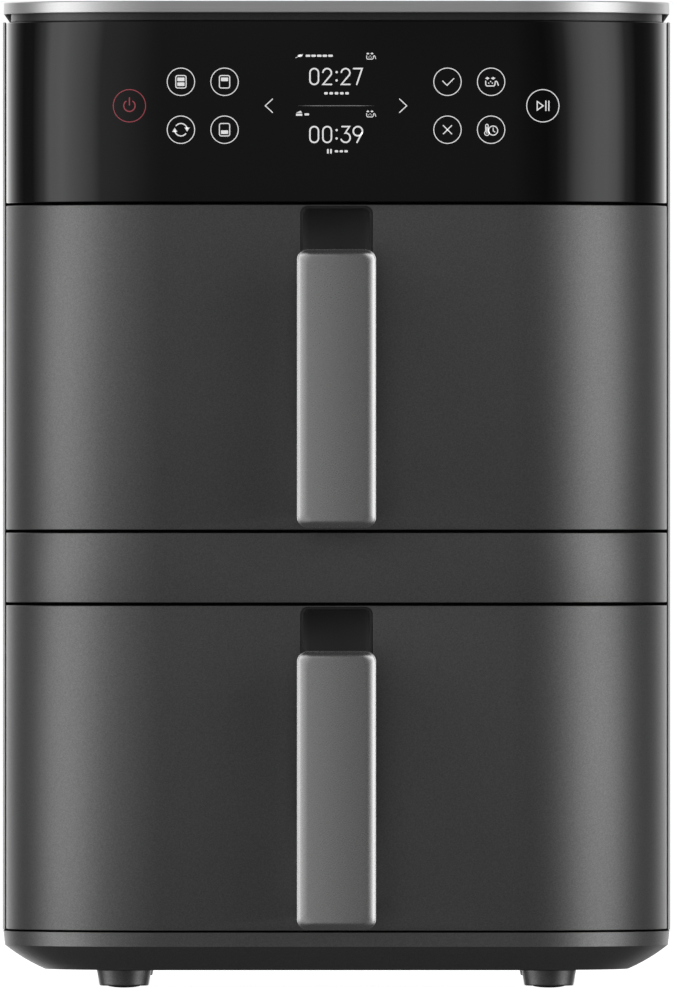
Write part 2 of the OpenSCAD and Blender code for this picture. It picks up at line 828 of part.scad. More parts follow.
handle_z0 = z_low0 + handle_lift;
arm_hw = 10.5;
arm_z0 = cut_z0 + 3;
arm_z1 = arm_z0 + 34;
handle_y0 = y_front - handle_out;
cup_floor_y = y_front + recess_d - cup_t;
handle_screw_zs = [arm_z0 + 9, arm_z0 + 25];

module handle(dz) {
    color(c_handle) translate([0, 0, dz]) difference() {
        union() {
            intersection() {
                upright(handle_y0, handle_t) translate([0, handle_z0])
                    rounded_rect(handle_w, handle_h, handle_r);
                translate([-handle_w, 0, 0]) rotate([90, 0, 90]) linear_extrude(2 * handle_w)
                    translate([handle_y0 + handle_t, handle_z0])
                    rounded_rect(2 * handle_t, handle_h, handle_edge_r);
                translate([0, handle_y0, handle_z0 - 1]) linear_extrude(handle_h + 2)
                    rounded_rect(handle_w, 2 * handle_t, handle_edge_r);
            }
            block([-arm_hw, handle_y0 + handle_t - 1, arm_z0], [arm_hw, cup_floor_y, arm_z1]);
        }
        for (z = handle_screw_zs) rod_y(0, z, 1.5, cup_floor_y - 12, cup_floor_y + 1);
    }
}

module lower_handle() { handle(0); }
module upper_handle() { handle(pitch); }

bracket_t = 1.5;
bracket_hw = 14;
bracket_y0 = y_front + recess_d;

module pan_bracket(dz) {
    color(c_sheet) translate([0, 0, dz]) difference() {
        union() {
            block([-bracket_hw, bracket_y0, arm_z0], [bracket_hw, bracket_y0 + bracket_t, pan_z1 - 12]);
            for (s = [-1, 1]) block([s * bracket_hw - (s > 0 ? bracket_t : 0), bracket_y0, pan_z0 + 8],
                [s * bracket_hw + (s < 0 ? bracket_t : 0), pan_y0, pan_z1 - 12]);
            block([-40, pan_y0 - bracket_t, pan_z0 + 24], [40, pan_y0, pan_z1 - 12]);
        }
        for (z = handle_screw_zs) rod_y(0, z, 2.1, bracket_y0 - 1, bracket_y0 + bracket_t + 1);
    }
}

module lower_pan_bracket() { pan_bracket(0); }
module upper_pan_bracket() { pan_bracket(pitch); }

module handle_screws(dz) {
    color(c_sheet) for (z = handle_screw_zs) translate([0, 0, dz]) union() {
        rod_y(0, z, 3.6, bracket_y0 + bracket_t, bracket_y0 + bracket_t + 2);
        rod_y(0, z, 1.4, cup_floor_y - 11, bracket_y0 + bracket_t + 0.1);
    }
}

module lower_handle_screws() { handle_screws(0); }
module upper_handle_screws() { handle_screws(pitch); }

module pan_outline(grow) {
    translate([0, pan_y0 - grow]) rounded_rect(pan_w + 2 * grow, pan_l + 2 * grow, pan_r + grow);
}

air_hw = 60;
air_drop = 34;

module pan(dz) {
    color(c_coat) translate([0, 0, dz]) difference() {
        union() {
            translate([0, 0, pan_z0]) linear_extrude(pan_h) pan_outline(0);
            translate([0, 0, pan_z1 - 2]) linear_extrude(2) intersection() {
                pan_outline(rim_out);
                translate([-body_w, pan_y0]) square([2 * body_w, body_d]);
            }
        }
        translate([0, 0, pan_z0 + pan_t]) linear_extrude(pan_h) pan_outline(-pan_t);
        block([-air_hw, pan_y1 - 10, pan_z1 - air_drop], [air_hw, pan_y1 + 10, pan_z1 + 1]);
    }
}

module lower_pan() { pan(0); }
module upper_pan() { pan(pitch); }

module tray_outline(grow) {
    translate([0, tray_y0 - grow])
        rounded_rect(2 * (tray_hw + grow), tray_y1 - tray_y0 + 2 * grow, tray_r + grow);
}

slot_nx = 7;
slot_ny = 6;
slot_dx = 26;
slot_dy = 30;
slot_hw = 3;
slot_hl = 9;

tray_yc = (tray_y0 + tray_y1) / 2;
bump_x = 92;
bump_y = 92;

module crisper_tray(dz) {
    yc = tray_yc;
    color(c_coat) translate([0, 0, dz]) difference() {
        translate([0, 0, tray_z0]) linear_extrude(tray_rim_h) tray_outline(0);
        translate([0, 0, tray_z0 + tray_t]) linear_extrude(tray_rim_h) tray_outline(-tray_t);
        for (i = [0 : slot_nx - 1]) for (j = [0 : slot_ny - 1])
            translate([(i - (slot_nx - 1) / 2) * slot_dx, yc + (j - (slot_ny - 1) / 2) * slot_dy,
                tray_z0 - 1]) linear_extrude(tray_t + 2) {
                translate([-slot_hw, slot_hw - slot_hl]) square([2 * slot_hw, 2 * (slot_hl - slot_hw)]);
                for (s = [-1, 1]) translate([0, s * (slot_hl - slot_hw)]) circle(slot_hw);
            }
        for (sx = [-1, 1]) for (sy = [-1, 1]) translate([sx * bump_x, yc + sy * bump_y, tray_z0 - 1])
            cylinder(r = 3.1, h = 4);
    }
}

module tray_bumpers(dz) {
    yc = tray_yc;
    color(c_rubber) translate([0, 0, dz]) for (sx = [-1, 1]) for (sy = [-1, 1])
        translate([sx * bump_x, yc + sy * bump_y, 0]) union() {
            translate([0, 0, tray_z0 - tray_lift + 0.1]) cylinder(r1 = 4, r2 = 5.5, h = tray_lift - 0.1);
            translate([0, 0, tray_z0 - 0.1]) cylinder(r = 3, h = tray_t + 0.1);
            translate([0, 0, tray_z0 + tray_t]) cylinder(r1 = 5, r2 = 3.6, h = 2);
        }
}

module lower_tray() { crisper_tray(0); }
module upper_tray() { crisper_tray(pitch); }
module lower_tray_bumpers() { tray_bumpers(0); }
module upper_tray_bumpers() { tray_bumpers(pitch); }

base_tray();
feet();
foot_pads();
side_panel_left();
side_panel_right();
rear_cover();
rear_spacers();
top_plate();
top_deck();
control_glass();
fascia_frame();
display_module();
touch_board();
middle_panel();
front_bulkhead();
mouth_gaskets();
interlock_switches();
lower_chamber();
upper_chamber();
drawer_rails();
mid_insulation();
heat_shield();
lower_fan_guard();
upper_fan_guard();
lower_heater();
upper_heater();
lower_fan_housing();
upper_fan_housing();
lower_motor();
upper_motor();
temp_sensors();
power_board();
board_parts();
cord_gland();
cover_screws();
base_screws();
lower_drawer_front();
upper_drawer_front();
lower_liner();
upper_liner();
lower_finger_cup();
upper_finger_cup();
lower_handle();
upper_handle();
lower_pan_bracket();
upper_pan_bracket();
lower_handle_screws();
upper_handle_screws();
lower_pan();
upper_pan();
lower_tray();
upper_tray();
lower_tray_bumpers();
upper_tray_bumpers();
lower_rotor();
upper_rotor();
lower_shaft();
upper_shaft();
lower_cooling_fan();
upper_cooling_fan();
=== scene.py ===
import json
import math

import bmesh
import bpy
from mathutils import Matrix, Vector


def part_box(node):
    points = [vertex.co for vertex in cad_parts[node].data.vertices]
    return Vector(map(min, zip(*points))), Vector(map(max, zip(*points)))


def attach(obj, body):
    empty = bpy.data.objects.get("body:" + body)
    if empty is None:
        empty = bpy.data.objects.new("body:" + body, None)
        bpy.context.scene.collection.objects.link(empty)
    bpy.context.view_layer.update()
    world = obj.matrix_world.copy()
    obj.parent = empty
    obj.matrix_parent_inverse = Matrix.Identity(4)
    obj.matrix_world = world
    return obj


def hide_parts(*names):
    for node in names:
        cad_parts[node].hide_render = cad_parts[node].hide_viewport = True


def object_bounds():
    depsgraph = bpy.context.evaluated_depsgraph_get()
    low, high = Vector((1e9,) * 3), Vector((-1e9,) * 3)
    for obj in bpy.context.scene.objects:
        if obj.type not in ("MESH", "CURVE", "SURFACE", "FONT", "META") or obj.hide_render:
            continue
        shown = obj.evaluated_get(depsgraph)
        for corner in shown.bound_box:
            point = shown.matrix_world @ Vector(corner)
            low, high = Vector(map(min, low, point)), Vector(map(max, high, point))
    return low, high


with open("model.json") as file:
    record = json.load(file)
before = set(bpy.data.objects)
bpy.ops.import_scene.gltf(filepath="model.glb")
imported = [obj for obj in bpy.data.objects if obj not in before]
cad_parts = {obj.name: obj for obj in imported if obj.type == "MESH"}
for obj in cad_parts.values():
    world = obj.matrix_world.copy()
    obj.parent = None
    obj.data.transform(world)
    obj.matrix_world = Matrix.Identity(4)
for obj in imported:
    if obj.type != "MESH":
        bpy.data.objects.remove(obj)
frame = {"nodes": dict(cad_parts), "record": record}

MM = 0.001
CAD_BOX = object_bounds()
SIDES = ("lower", "upper")
BODY_OF = {n: b for b, ns in frame["record"]["behaviour"]["bodies"].items() for n in ns}
SLOT_OF = {s["node"]: s["material_slot"] for s in frame["record"]["subparts"]}


# ---------------------------------------------------------------- materials

def add(tree, kind, values=None, **settings):
    """A shader node with its settings and its input values or links."""
    node = tree.nodes.new(kind)
    for key, value in settings.items():
        setattr(node, key, value)
    for key, value in (values or {}).items():
        socket = node.inputs[key]
        if isinstance(value, bpy.types.NodeSocket):
            tree.links.new(value, socket)
        else:
            socket.default_value = value
    return node


def ramp(tree, fac, stops, interpolation="LINEAR"):
    node = add(tree, "ShaderNodeValToRGB", {"Fac": fac})
    band = node.color_ramp
    band.interpolation = interpolation
    while len(band.elements) < len(stops):
        band.elements.new(1.0)
    for element, (place, value) in zip(band.elements, stops):
        element.position = place
        element.color = (value, value, value, 1) if isinstance(value, float) else (*value, 1)
    return node.outputs["Color"]


def coords(tree, scale=(1, 1, 1)):
    place = add(tree, "ShaderNodeTexCoord").outputs["Object"]
    return add(tree, "ShaderNodeMapping", {"Vector": place, "Scale": scale}).outputs["Vector"]


def noise(tree, scale, stretch=(1, 1, 1), detail=3.0, rough=0.5):
    values = {"Vector": coords(tree, stretch), "Scale": scale, "Detail": detail, "Roughness": rough}
    return add(tree, "ShaderNodeTexNoise", values).outputs["Fac"]


def spread(tree, value, low, high, start=0.3, end=0.7):
    """A 0-1 value mapped onto low-high."""
    values = {"Value": value, "From Min": start, "From Max": end, "To Min": low, "To Max": high}
    return add(tree, "ShaderNodeMapRange", values).outputs["Result"]


def math_node(tree, operation, *values):
    return add(tree, "ShaderNodeMath", dict(enumerate(values)), operation=operation).outputs[0]


def tint(tree, value, dark, light):
    node = add(tree, "ShaderNodeMix", {"Factor": value}, data_type="RGBA")
    node.inputs[6].default_value = (*dark, 1)
    node.inputs[7].default_value = (*light, 1)
    return node.outputs[2]


def blend(tree, factor, first, second):
    node = add(tree, "ShaderNodeMix", {"Factor": factor}, data_type="RGBA")
    tree.links.new(first, node.inputs[6])
    tree.links.new(second, node.inputs[7])
    return node.outputs[2]


def bump(tree, height, strength, distance):
    values = {"Height": height, "Strength": strength, "Distance": distance}
    return add(tree, "ShaderNodeBump", values).outputs["Normal"]


def grey(value, warm=0.0):
    return (value * (1 + warm), value, value * (1 - warm))


def shader(name, **constants):
    """A new material; constants go straight onto the shader's own sockets."""
    mat = bpy.data.materials.new(name)
    mat.use_nodes = True
    tree = mat.node_tree
    bsdf = tree.nodes["Principled BSDF"]
    for key, value in constants.items():
        bsdf.inputs[key.replace("_", " ")].default_value = value
    return mat, tree, bsdf


def join(tree, bsdf, **sockets):
    for key, value in sockets.items():
        tree.links.new(value, bsdf.inputs[key.replace("_", " ")])


def paint(name, base, rough, metallic=0.92, flake=0.16, cells=3000.0, grain=0.08):
    """Satin metallic paint: fine flake in colour and normal, slow change in gloss."""
    mat, tree, bsdf = shader(name, Metallic=metallic)
    cell = add(tree, "ShaderNodeTexVoronoi", {"Vector": coords(tree), "Scale": cells})
    spark = add(tree, "ShaderNodeSeparateColor", {"Color": cell.outputs["Color"]}).outputs["Red"]
    cloud = noise(tree, 9.0, detail=2.0)
    fine = noise(tree, 1500.0, detail=2.0)
    colour = tint(tree, spark, grey(base * (1 - flake)), grey(base * (1 + flake)))
    gloss = math_node(tree, "ADD", spread(tree, cloud, rough - 0.012, rough + 0.012),
                      spread(tree, fine, -0.02, 0.02))
    join(tree, bsdf, Base_Color=colour, Roughness=gloss, Normal=bump(tree, fine, grain, 0.00003))
    return mat


def gloss_black(name):
    mat, tree, bsdf = shader(name, IOR=1.5, Specular_IOR_Level=0.5, Coat_Weight=0.0)
    cloud = noise(tree, 22.0, detail=4.0)
    dust = noise(tree, 2500.0, detail=1.0)
    join(tree, bsdf, Base_Color=tint(tree, cloud, grey(0.0028), grey(0.0040)),
         Roughness=spread(tree, cloud, 0.025, 0.05), Normal=bump(tree, dust, 0.012, 0.00002))
    return mat


def brushed(name, base, rough, along="X", streak=1800.0, depth=0.25, metallic=1.0, across=0.0, rim=1.0):
    """Steel brushed along one axis.

    across spreads its highlights up and down; rim below 1 dulls its grazing views.
    """
    mat, tree, bsdf = shader(name, Metallic=metallic, Anisotropic=across, Anisotropic_Rotation=0.25,
                             Specular_Tint=(rim, rim, rim, 1))
    stretch = {"X": (0.012, 1, 1), "Y": (1, 0.012, 1), "Z": (1, 1, 0.012)}[along]
    lines = noise(tree, streak, stretch, detail=5.0, rough=0.65)
    broad = noise(tree, 6.0, detail=2.0)
    colour = tint(tree, lines, grey(base * 0.90), grey(base * 1.08))
    gloss = math_node(tree, "ADD", spread(tree, lines, rough - 0.04, rough + 0.04),
                      spread(tree, broad, -0.015, 0.015))
    join(tree, bsdf, Base_Color=colour, Roughness=gloss, Normal=bump(tree, lines, depth, 0.00002))
    if across:
        normal = add(tree, "ShaderNodeTexCoord").outputs["Normal"]
        facing = add(tree, "ShaderNodeSeparateXYZ", {"Vector": normal})
        along_x = math_node(tree, "SUBTRACT", 0.02, facing.outputs["Y"])
        values = {"X": along_x, "Y": facing.outputs["X"], "Z": 0.0}
        join(tree, bsdf, Tangent=add(tree, "ShaderNodeCombineXYZ", values).outputs[0])
    return mat


def moulded(name, base, rough, grain=1400.0, depth=0.20, warm=0.0, spec=0.5):
    """Moulded plastic or rubber with a spark-eroded grain."""
    mat, tree, bsdf = shader(name, Specular_IOR_Level=spec)
    fine = noise(tree, grain, detail=3.0, rough=0.6)
    cloud = noise(tree, 14.0, detail=3.0)
    colour = tint(tree, cloud, grey(base * 0.88, warm), grey(base * 1.12, warm))
    gloss = math_node(tree, "ADD", spread(tree, fine, rough - 0.07, rough + 0.07),
                      spread(tree, cloud, -0.03, 0.03))
    join(tree, bsdf, Base_Color=colour, Roughness=gloss, Normal=bump(tree, fine, depth, 0.00008))
    return mat


def hollow_plastic_painted_light(name, rim_y, depth, rim, floor):
    """Matt plastic of a finger cup, a little paler on its floor than at its rim: the paler floor is painted
    light against the shade deep in the cup.
    """
    mat, tree, bsdf = shader(name, Specular_IOR_Level=0.2)
    place = add(tree, "ShaderNodeSeparateXYZ", {"Vector": coords(tree)})
    painted_light_depth = spread(tree, place.outputs["Y"], 0, 1, rim_y, rim_y + depth)
    fine = noise(tree, 1000.0, detail=3.0, rough=0.6)
    # painted light: the colour runs from dark at the rim to paler on the floor, which lies in shade
    colour = tint(tree, painted_light_depth, grey(rim), grey(floor))
    join(tree, bsdf, Base_Color=colour, Roughness=spread(tree, fine, 0.68, 0.82),
         Normal=bump(tree, fine, 0.15, 0.00008))
    return mat


def heated(name):
    """Heating tube sheath, darkened and mottled by heat."""
    mat, tree, bsdf = shader(name, Metallic=0.85)
    patch = noise(tree, 60.0, detail=6.0, rough=0.6)
    stops = [(0.25, (0.045, 0.040, 0.042)), (0.5, (0.10, 0.085, 0.075)), (0.75, (0.17, 0.13, 0.10))]
    colour = ramp(tree, patch, stops)
    join(tree, bsdf, Base_Color=colour, Roughness=spread(tree, patch, 0.38, 0.62),
         Normal=bump(tree, noise(tree, 1800.0), 0.2, 0.00006))
    return mat


def coated(name):
    """Dark non-stick coating with its fine sprayed texture and pale specks."""
    mat, tree, bsdf = shader(name, Metallic=0.15, Coat_Weight=0.25, Coat_Roughness=0.3)
    orange = noise(tree, 900.0, detail=2.0)
    specks = add(tree, "ShaderNodeTexVoronoi", {"Vector": coords(tree), "Scale": 420.0})
    near = math_node(tree, "LESS_THAN", specks.outputs["Distance"], 0.16)
    pick = add(tree, "ShaderNodeSeparateColor", {"Color": specks.outputs["Color"]}).outputs["Green"]
    rare = math_node(tree, "GREATER_THAN", pick, 0.72)
    mask = math_node(tree, "MULTIPLY", near, rare)
    join(tree, bsdf, Base_Color=tint(tree, mask, grey(0.022), grey(0.075)),
         Roughness=spread(tree, orange, 0.34, 0.5), Normal=bump(tree, orange, 0.18, 0.00012))
    return mat


def board_green(name):
    """Solder mask over a copper pour and its tracks."""
    mat, tree, bsdf = shader(name, Coat_Weight=0.3, Coat_Roughness=0.15)
    brick = add(tree, "ShaderNodeTexBrick", {
        "Vector": coords(tree), "Scale": 90.0, "Mortar Size": 0.035, "Brick Width": 0.9, "Row Height": 0.22,
        "Color1": (0.012, 0.085, 0.040, 1), "Color2": (0.016, 0.100, 0.048, 1),
        "Mortar": (0.030, 0.16, 0.075, 1)})
    cloud = noise(tree, 300.0)
    join(tree, bsdf, Base_Color=brick.outputs["Color"], Roughness=spread(tree, cloud, 0.28, 0.42),
         Normal=bump(tree, brick.outputs["Fac"], 0.4, 0.00006))
    return mat


def wool(name):
    mat, tree, bsdf = shader(name, Sheen_Weight=0.3)
    fibre = noise(tree, 700.0, (1, 0.15, 1), detail=8.0, rough=0.7)
    join(tree, bsdf, Base_Color=tint(tree, fibre, (0.42, 0.38, 0.26), (0.72, 0.68, 0.54)),
         Roughness=spread(tree, fibre, 0.85, 1.0), Normal=bump(tree, fibre, 0.8, 0.0006))
    return mat


def lit(name, colour, strength):
    """Symbol lit from behind: a diffusing print whose light is a little uneven."""
    mat, tree, bsdf = shader(name)
    cloud = noise(tree, 420.0, detail=2.0)
    dim = tuple(c * 0.93 for c in colour)
    tone = tint(tree, cloud, dim, colour)
    bsdf.inputs["Emission Strength"].default_value = strength
    join(tree, bsdf, Base_Color=tone, Emission_Color=tone, Roughness=spread(tree, cloud, 0.4, 0.5))
    return mat


MATS = {
    "front_paint": paint("satin_paint_dark", 0.192, 0.38, metallic=0.68),
    "side_paint": paint("satin_paint_side", 0.188, 0.40, metallic=0.70),
    "lid_steel": brushed("brushed_lid", 1.0, 0.40, "X", metallic=0.68, across=0.55, rim=0.6),
    "panel_glass": gloss_black("gloss_panel"),
    "handle_paint": paint("satin_handle", 0.70, 0.27, metallic=0.98, flake=0.05, grain=0.04),
    "black_plastic": moulded("black_moulding", 0.012, 0.48),
    "rubber": moulded("black_rubber", 0.018, 0.72, 900.0, 0.3, spec=0.3),
    "silicone": moulded("grey_silicone", 0.045, 0.55, 1100.0, 0.15, spec=0.4),
    "sheet_steel": brushed("mill_sheet", 0.50, 0.36, "Y", 1200.0, 0.15),
    "heater_sheath": heated("heater_sheath"),
    "motor_iron": moulded("motor_lacquer", 0.030, 0.42, 800.0, 0.3),
    "bright_steel": brushed("bright_screw", 0.60, 0.22, "Y", 2400.0, 0.1),
    "pan_coating": coated("nonstick_coat"),
    "circuit_board": board_green("solder_mask"),
    "display_light": moulded("display_window", 0.010, 0.2, 900.0, 0.05),
    "board_components": moulded("component_resin", 0.020, 0.5, 1000.0, 0.2),
    "mineral_wool": wool("mineral_wool"),
}
# paler copy of the front paint for the base tray and feet: painted light that brightens the base's
# downward-facing bevel
BASE_PAINT_PAINTED_LIGHT = paint("satin_base_painted_light", 0.25, 0.38, metallic=0.70)
NECK_PAINT = paint("satin_neck", 0.088, 0.36, metallic=0.65)
BULKHEAD = moulded("bulkhead_moulding", 0.07, 0.5)
WHITE_PRINT = lit("white_symbol", (0.86, 0.86, 0.87), 0.55)
DIM_PRINT = lit("dim_symbol", (0.30, 0.30, 0.31), 0.35)
RED_PRINT = lit("red_symbol", (0.42, 0.075, 0.10), 0.35)


# ---------------------------------------------------------------- mesh helpers

def plain_mesh(name, verts, faces, weld=None):
    """A mesh from vertices and faces, welded where they are nearer than weld, facing outwards."""
    mesh = bpy.data.meshes.new(name)
    mesh.from_pydata(verts, [], faces)
    bm = bmesh.new()
    bm.from_mesh(mesh)
    if weld:
        bmesh.ops.remove_doubles(bm, verts=bm.verts, dist=weld)
    bmesh.ops.recalc_face_normals(bm, faces=bm.faces)
    bm.to_mesh(mesh)
    bm.free()
    return mesh


def make(name, verts, faces, material, body, stands_for=(), smooth=32):
    """A finished piece from plain vertices and faces, riding its CAD body."""
    mesh = plain_mesh(name, verts, faces, 1e-7)
    return finish_piece(name, mesh, material, body, stands_for, smooth)


def cut_away(whole, tool):
    """The mesh whole with the closed mesh tool cut out of it."""
    scene = bpy.context.scene.collection
    body, cutter = (bpy.data.objects.new(mesh.name, mesh) for mesh in (whole, tool))
    for obj in (body, cutter):
        scene.objects.link(obj)
    mod = body.modifiers.new("cut", "BOOLEAN")
    mod.object = cutter
    mod.operation = "DIFFERENCE"
    mod.solver = "EXACT"
    bpy.context.view_layer.update()
    made = bpy.data.meshes.new_from_object(body.evaluated_get(bpy.context.evaluated_depsgraph_get()))
    bpy.data.objects.remove(body)
    bpy.data.objects.remove(cutter)
    return made


def finish_piece(name, mesh, material, body, stands_for=(), smooth=32):
    mesh.polygons.foreach_set("use_smooth", [True] * len(mesh.polygons))
    mesh.set_sharp_from_angle(angle=math.radians(smooth))
    mesh.materials.clear()
    mesh.materials.append(material)
    obj = bpy.data.objects.new(name, mesh)
    bpy.context.scene.collection.objects.link(obj)
    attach(obj, body)
    if stands_for:
        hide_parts(*stands_for)
    return obj


def round_edges(obj, width, segments=3, angle=38):
    mod = obj.modifiers.new("round", "BEVEL")
    mod.width = width * MM
    mod.segments = segments
    mod.limit_method = "ANGLE"
    mod.angle_limit = math.radians(angle)
    mod.use_clamp_overlap = True
    mod.miter_outer = "MITER_ARC"
    return obj


def even_normals(obj):
    """Keeps the shading of large flat faces flat."""
    obj.modifiers.new("even", "WEIGHTED_NORMAL").keep_sharp = True
    return obj


def draw_in(bm):
    """Curves the front end of a side sheet inwards, as if drawn over a former."""
    front = min(v.co.y for v in bm.verts)
    outside = max(abs(v.co.x) for v in bm.verts) - 0.1 * MM
    length, depth = 16 * MM, 0.95 * MM
    for part in (0.06, 0.14, 0.24, 0.36, 0.5, 0.7, 1.0):
        geom = bm.verts[:] + bm.edges[:] + bm.faces[:]
        place = (0, front + part * length, 0)
        bmesh.ops.bisect_plane(bm, geom=geom, dist=1e-7, plane_co=place, plane_no=(0, 1, 0))
    for v in bm.verts:
        reach = 1 - (v.co.y - front) / length
        if reach > 0 and abs(v.co.x) > outside:
            v.co.x -= math.copysign(depth * reach ** 2, v.co.x)


def split_faces(bm):
    """Cut the large faces with openings in them into triangles."""
    bmesh.ops.triangulate(bm, faces=[f for f in bm.faces if len(f.verts) > 4])


def refine(node, edge=0.25, smooth=32, segments=2, shape=None):
    """A cleaned copy of a CAD node: welded, smoothed, with its sharp edges rounded."""
    mesh = frame["nodes"][node].data.copy()
    bm = bmesh.new()
    bm.from_mesh(mesh)
    bmesh.ops.remove_doubles(bm, verts=bm.verts, dist=2e-6)
    bmesh.ops.dissolve_limit(bm, angle_limit=math.radians(0.4), verts=bm.verts, edges=bm.edges)
    if shape:
        shape(bm)
    bmesh.ops.recalc_face_normals(bm, faces=bm.faces)
    clean = bpy.data.meshes.new(node + "_fine")
    bm.to_mesh(clean)
    bm.free()
    bpy.data.meshes.remove(mesh)
    slot = SLOT_OF[node]
    obj = finish_piece(node + "_fine", clean, MATS[slot], BODY_OF[node], [node], smooth)
    if edge:
        round_edges(obj, edge, segments)
    return even_normals(obj)


def front_path(half, radius, y0, y1, steps=40):
    """Points with outward normals round the front of the body, left rear to right rear."""
    path = [(-half, y1, -1.0, 0.0)]
    for centre, start in ((radius - half, math.pi), (half - radius, 1.5 * math.pi)):
        for i in range(steps + 1):
            a = start + math.pi / 2 * i / steps
            nx, ny = math.cos(a), math.sin(a)
            path.append((centre + radius * nx, y0 + radius + radius * ny, nx, ny))
    path.append((half, y1, 1.0, 0.0))
    return path


def loop_path(half, front_r, rear_r, y0, y1, steps=40):
    """Closed plan outline with its own radii at the front and rear corners."""
    corners = [(front_r - half, y0 + front_r, front_r, math.pi),
               (half - front_r, y0 + front_r, front_r, 1.5 * math.pi),
               (half - rear_r, y1 - rear_r, rear_r, 0.0),
               (rear_r - half, y1 - rear_r, rear_r, 0.5 * math.pi)]
    path = []
    for cx, cy, radius, start in corners:
        for i in range(steps + 1):
            a = start + math.pi / 2 * i / steps
            nx, ny = math.cos(a), math.sin(a)
            path.append((cx + radius * nx, cy + radius * ny, nx, ny))
    return path


def swept(path, section, closed=False):
    """Vertices and faces of a closed ring of (outward, height) points carried along a path."""
    size, count = len(section), len(path)
    verts = [(x + nx * out, y + ny * out, z) for x, y, nx, ny in path for out, z in section]
    faces = []
    for i in range(count if closed else count - 1):
        j = (i + 1) % count
        for k in range(size):
            m = (k + 1) % size
            faces.append((i * size + k, i * size + m, j * size + m, j * size + k))
    if not closed:
        faces.append(tuple(range(size)))
        faces.append(tuple((count - 1) * size + k for k in reversed(range(size))))
    return verts, faces


def rounded_section(z0, z1, thick, edge, steps=4):
    """Upright wall section, its two outer edges rounded by edge."""
    pts = []
    for i in range(steps + 1):
        a = math.pi / 2 * i / steps
        pts.append((-edge + edge * math.sin(a), z0 + edge - edge * math.cos(a)))
    for i in range(steps + 1):
        a = math.pi / 2 * i / steps
        pts.append((-edge + edge * math.cos(a), z1 - edge + edge * math.sin(a)))
    return pts + [(-thick, z1), (-thick, z0)]


def rounded_loop(half_w, half_h, radius, steps=8, across=1):
    """Rounded rectangle about the origin: points with outward normals.

    Its level edges are cut into across parts.
    """
    out = []
    for sx, sz, start in ((1, 1, 0.0), (-1, 1, 0.5), (-1, -1, 1.0), (1, -1, 1.5)):
        for i in range(steps + 1):
            a = math.pi * (start + 0.5 * i / steps)
            nx, nz = math.cos(a), math.sin(a)
            out.append((sx * (half_w - radius) + radius * nx, sz * (half_h - radius) + radius * nz, nx, nz))
        if sx == sz:
            for i in range(1, across):
                out.append((sx * (half_w - radius) * (1 - 2 * i / across), sz * half_h, 0.0, sz))
    return out


def bridge(rings, caps=(True, True)):
    """Faces between equal rings of vertices, in order, with end caps."""
    verts, faces, size = [], [], len(rings[0])
    for ring in rings:
        verts += ring
    for r in range(len(rings) - 1):
        for k in range(size):
            m = (k + 1) % size
            faces.append((r * size + k, r * size + m, (r + 1) * size + m, (r + 1) * size + k))
    if caps[0]:
        faces.append(tuple(reversed(range(size))))
    if caps[1]:
        faces.append(tuple((len(rings) - 1) * size + k for k in range(size)))
    return verts, faces


# ---------------------------------------------------------------- sizes read from the frame

GLASS_LO, GLASS_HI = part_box("control_glass")
PANEL_HALF = GLASS_HI.x + 0.15 * MM
Y_FRONT = GLASS_LO.y
Y_PANEL = GLASS_HI.y
CORNER_R = Y_PANEL - Y_FRONT - 6 * MM
FLAT_HALF = PANEL_HALF - CORNER_R
SKIN_T = 3 * MM
GLASS_T = 2.4 * MM


def glass_y(x):
    """Where the face of the control glass is at x."""
    past = abs(x) - FLAT_HALF
    return Y_FRONT if past <= 0 else Y_FRONT + CORNER_R - math.sqrt(CORNER_R ** 2 - past ** 2)


# ---------------------------------------------------------------- outer skin

def front_shell(node, thick, edge):
    lo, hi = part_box(node)
    path = front_path(PANEL_HALF, CORNER_R, Y_FRONT, Y_PANEL)
    verts, faces = swept(path, rounded_section(lo.z, hi.z, thick, edge * MM))
    slot = SLOT_OF[node]
    return make(node + "_skin", verts, faces, MATS[slot], BODY_OF[node], [node])


front_shell("control_glass", GLASS_T, 0.45)
front_shell("middle_panel", SKIN_T, 0.3)

LIP = 0.12 * MM
LIP_STEPS = 5
RECESS_GROW, RECESS_CORNER = 0.03 * MM, 3.23 * MM


def recess_outline(side):
    """Edge of the finger recess in the drawer front: points, normals and how far its lip is rounded."""
    lo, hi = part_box(side + "_finger_cup")
    half_w, half_h = hi.x + RECESS_GROW, (hi.z - lo.z) / 2 + RECESS_GROW
    middle = (hi.z + lo.z) / 2
    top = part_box(side + "_drawer_front")[1].z
    points = []
    for x, z, nx, nz in rounded_loop(half_w, half_h, RECESS_CORNER):
        room = top - 0.08 * MM - (middle + z)
        points.append((x, middle + z, nx, nz, min(LIP, room)))
    return points


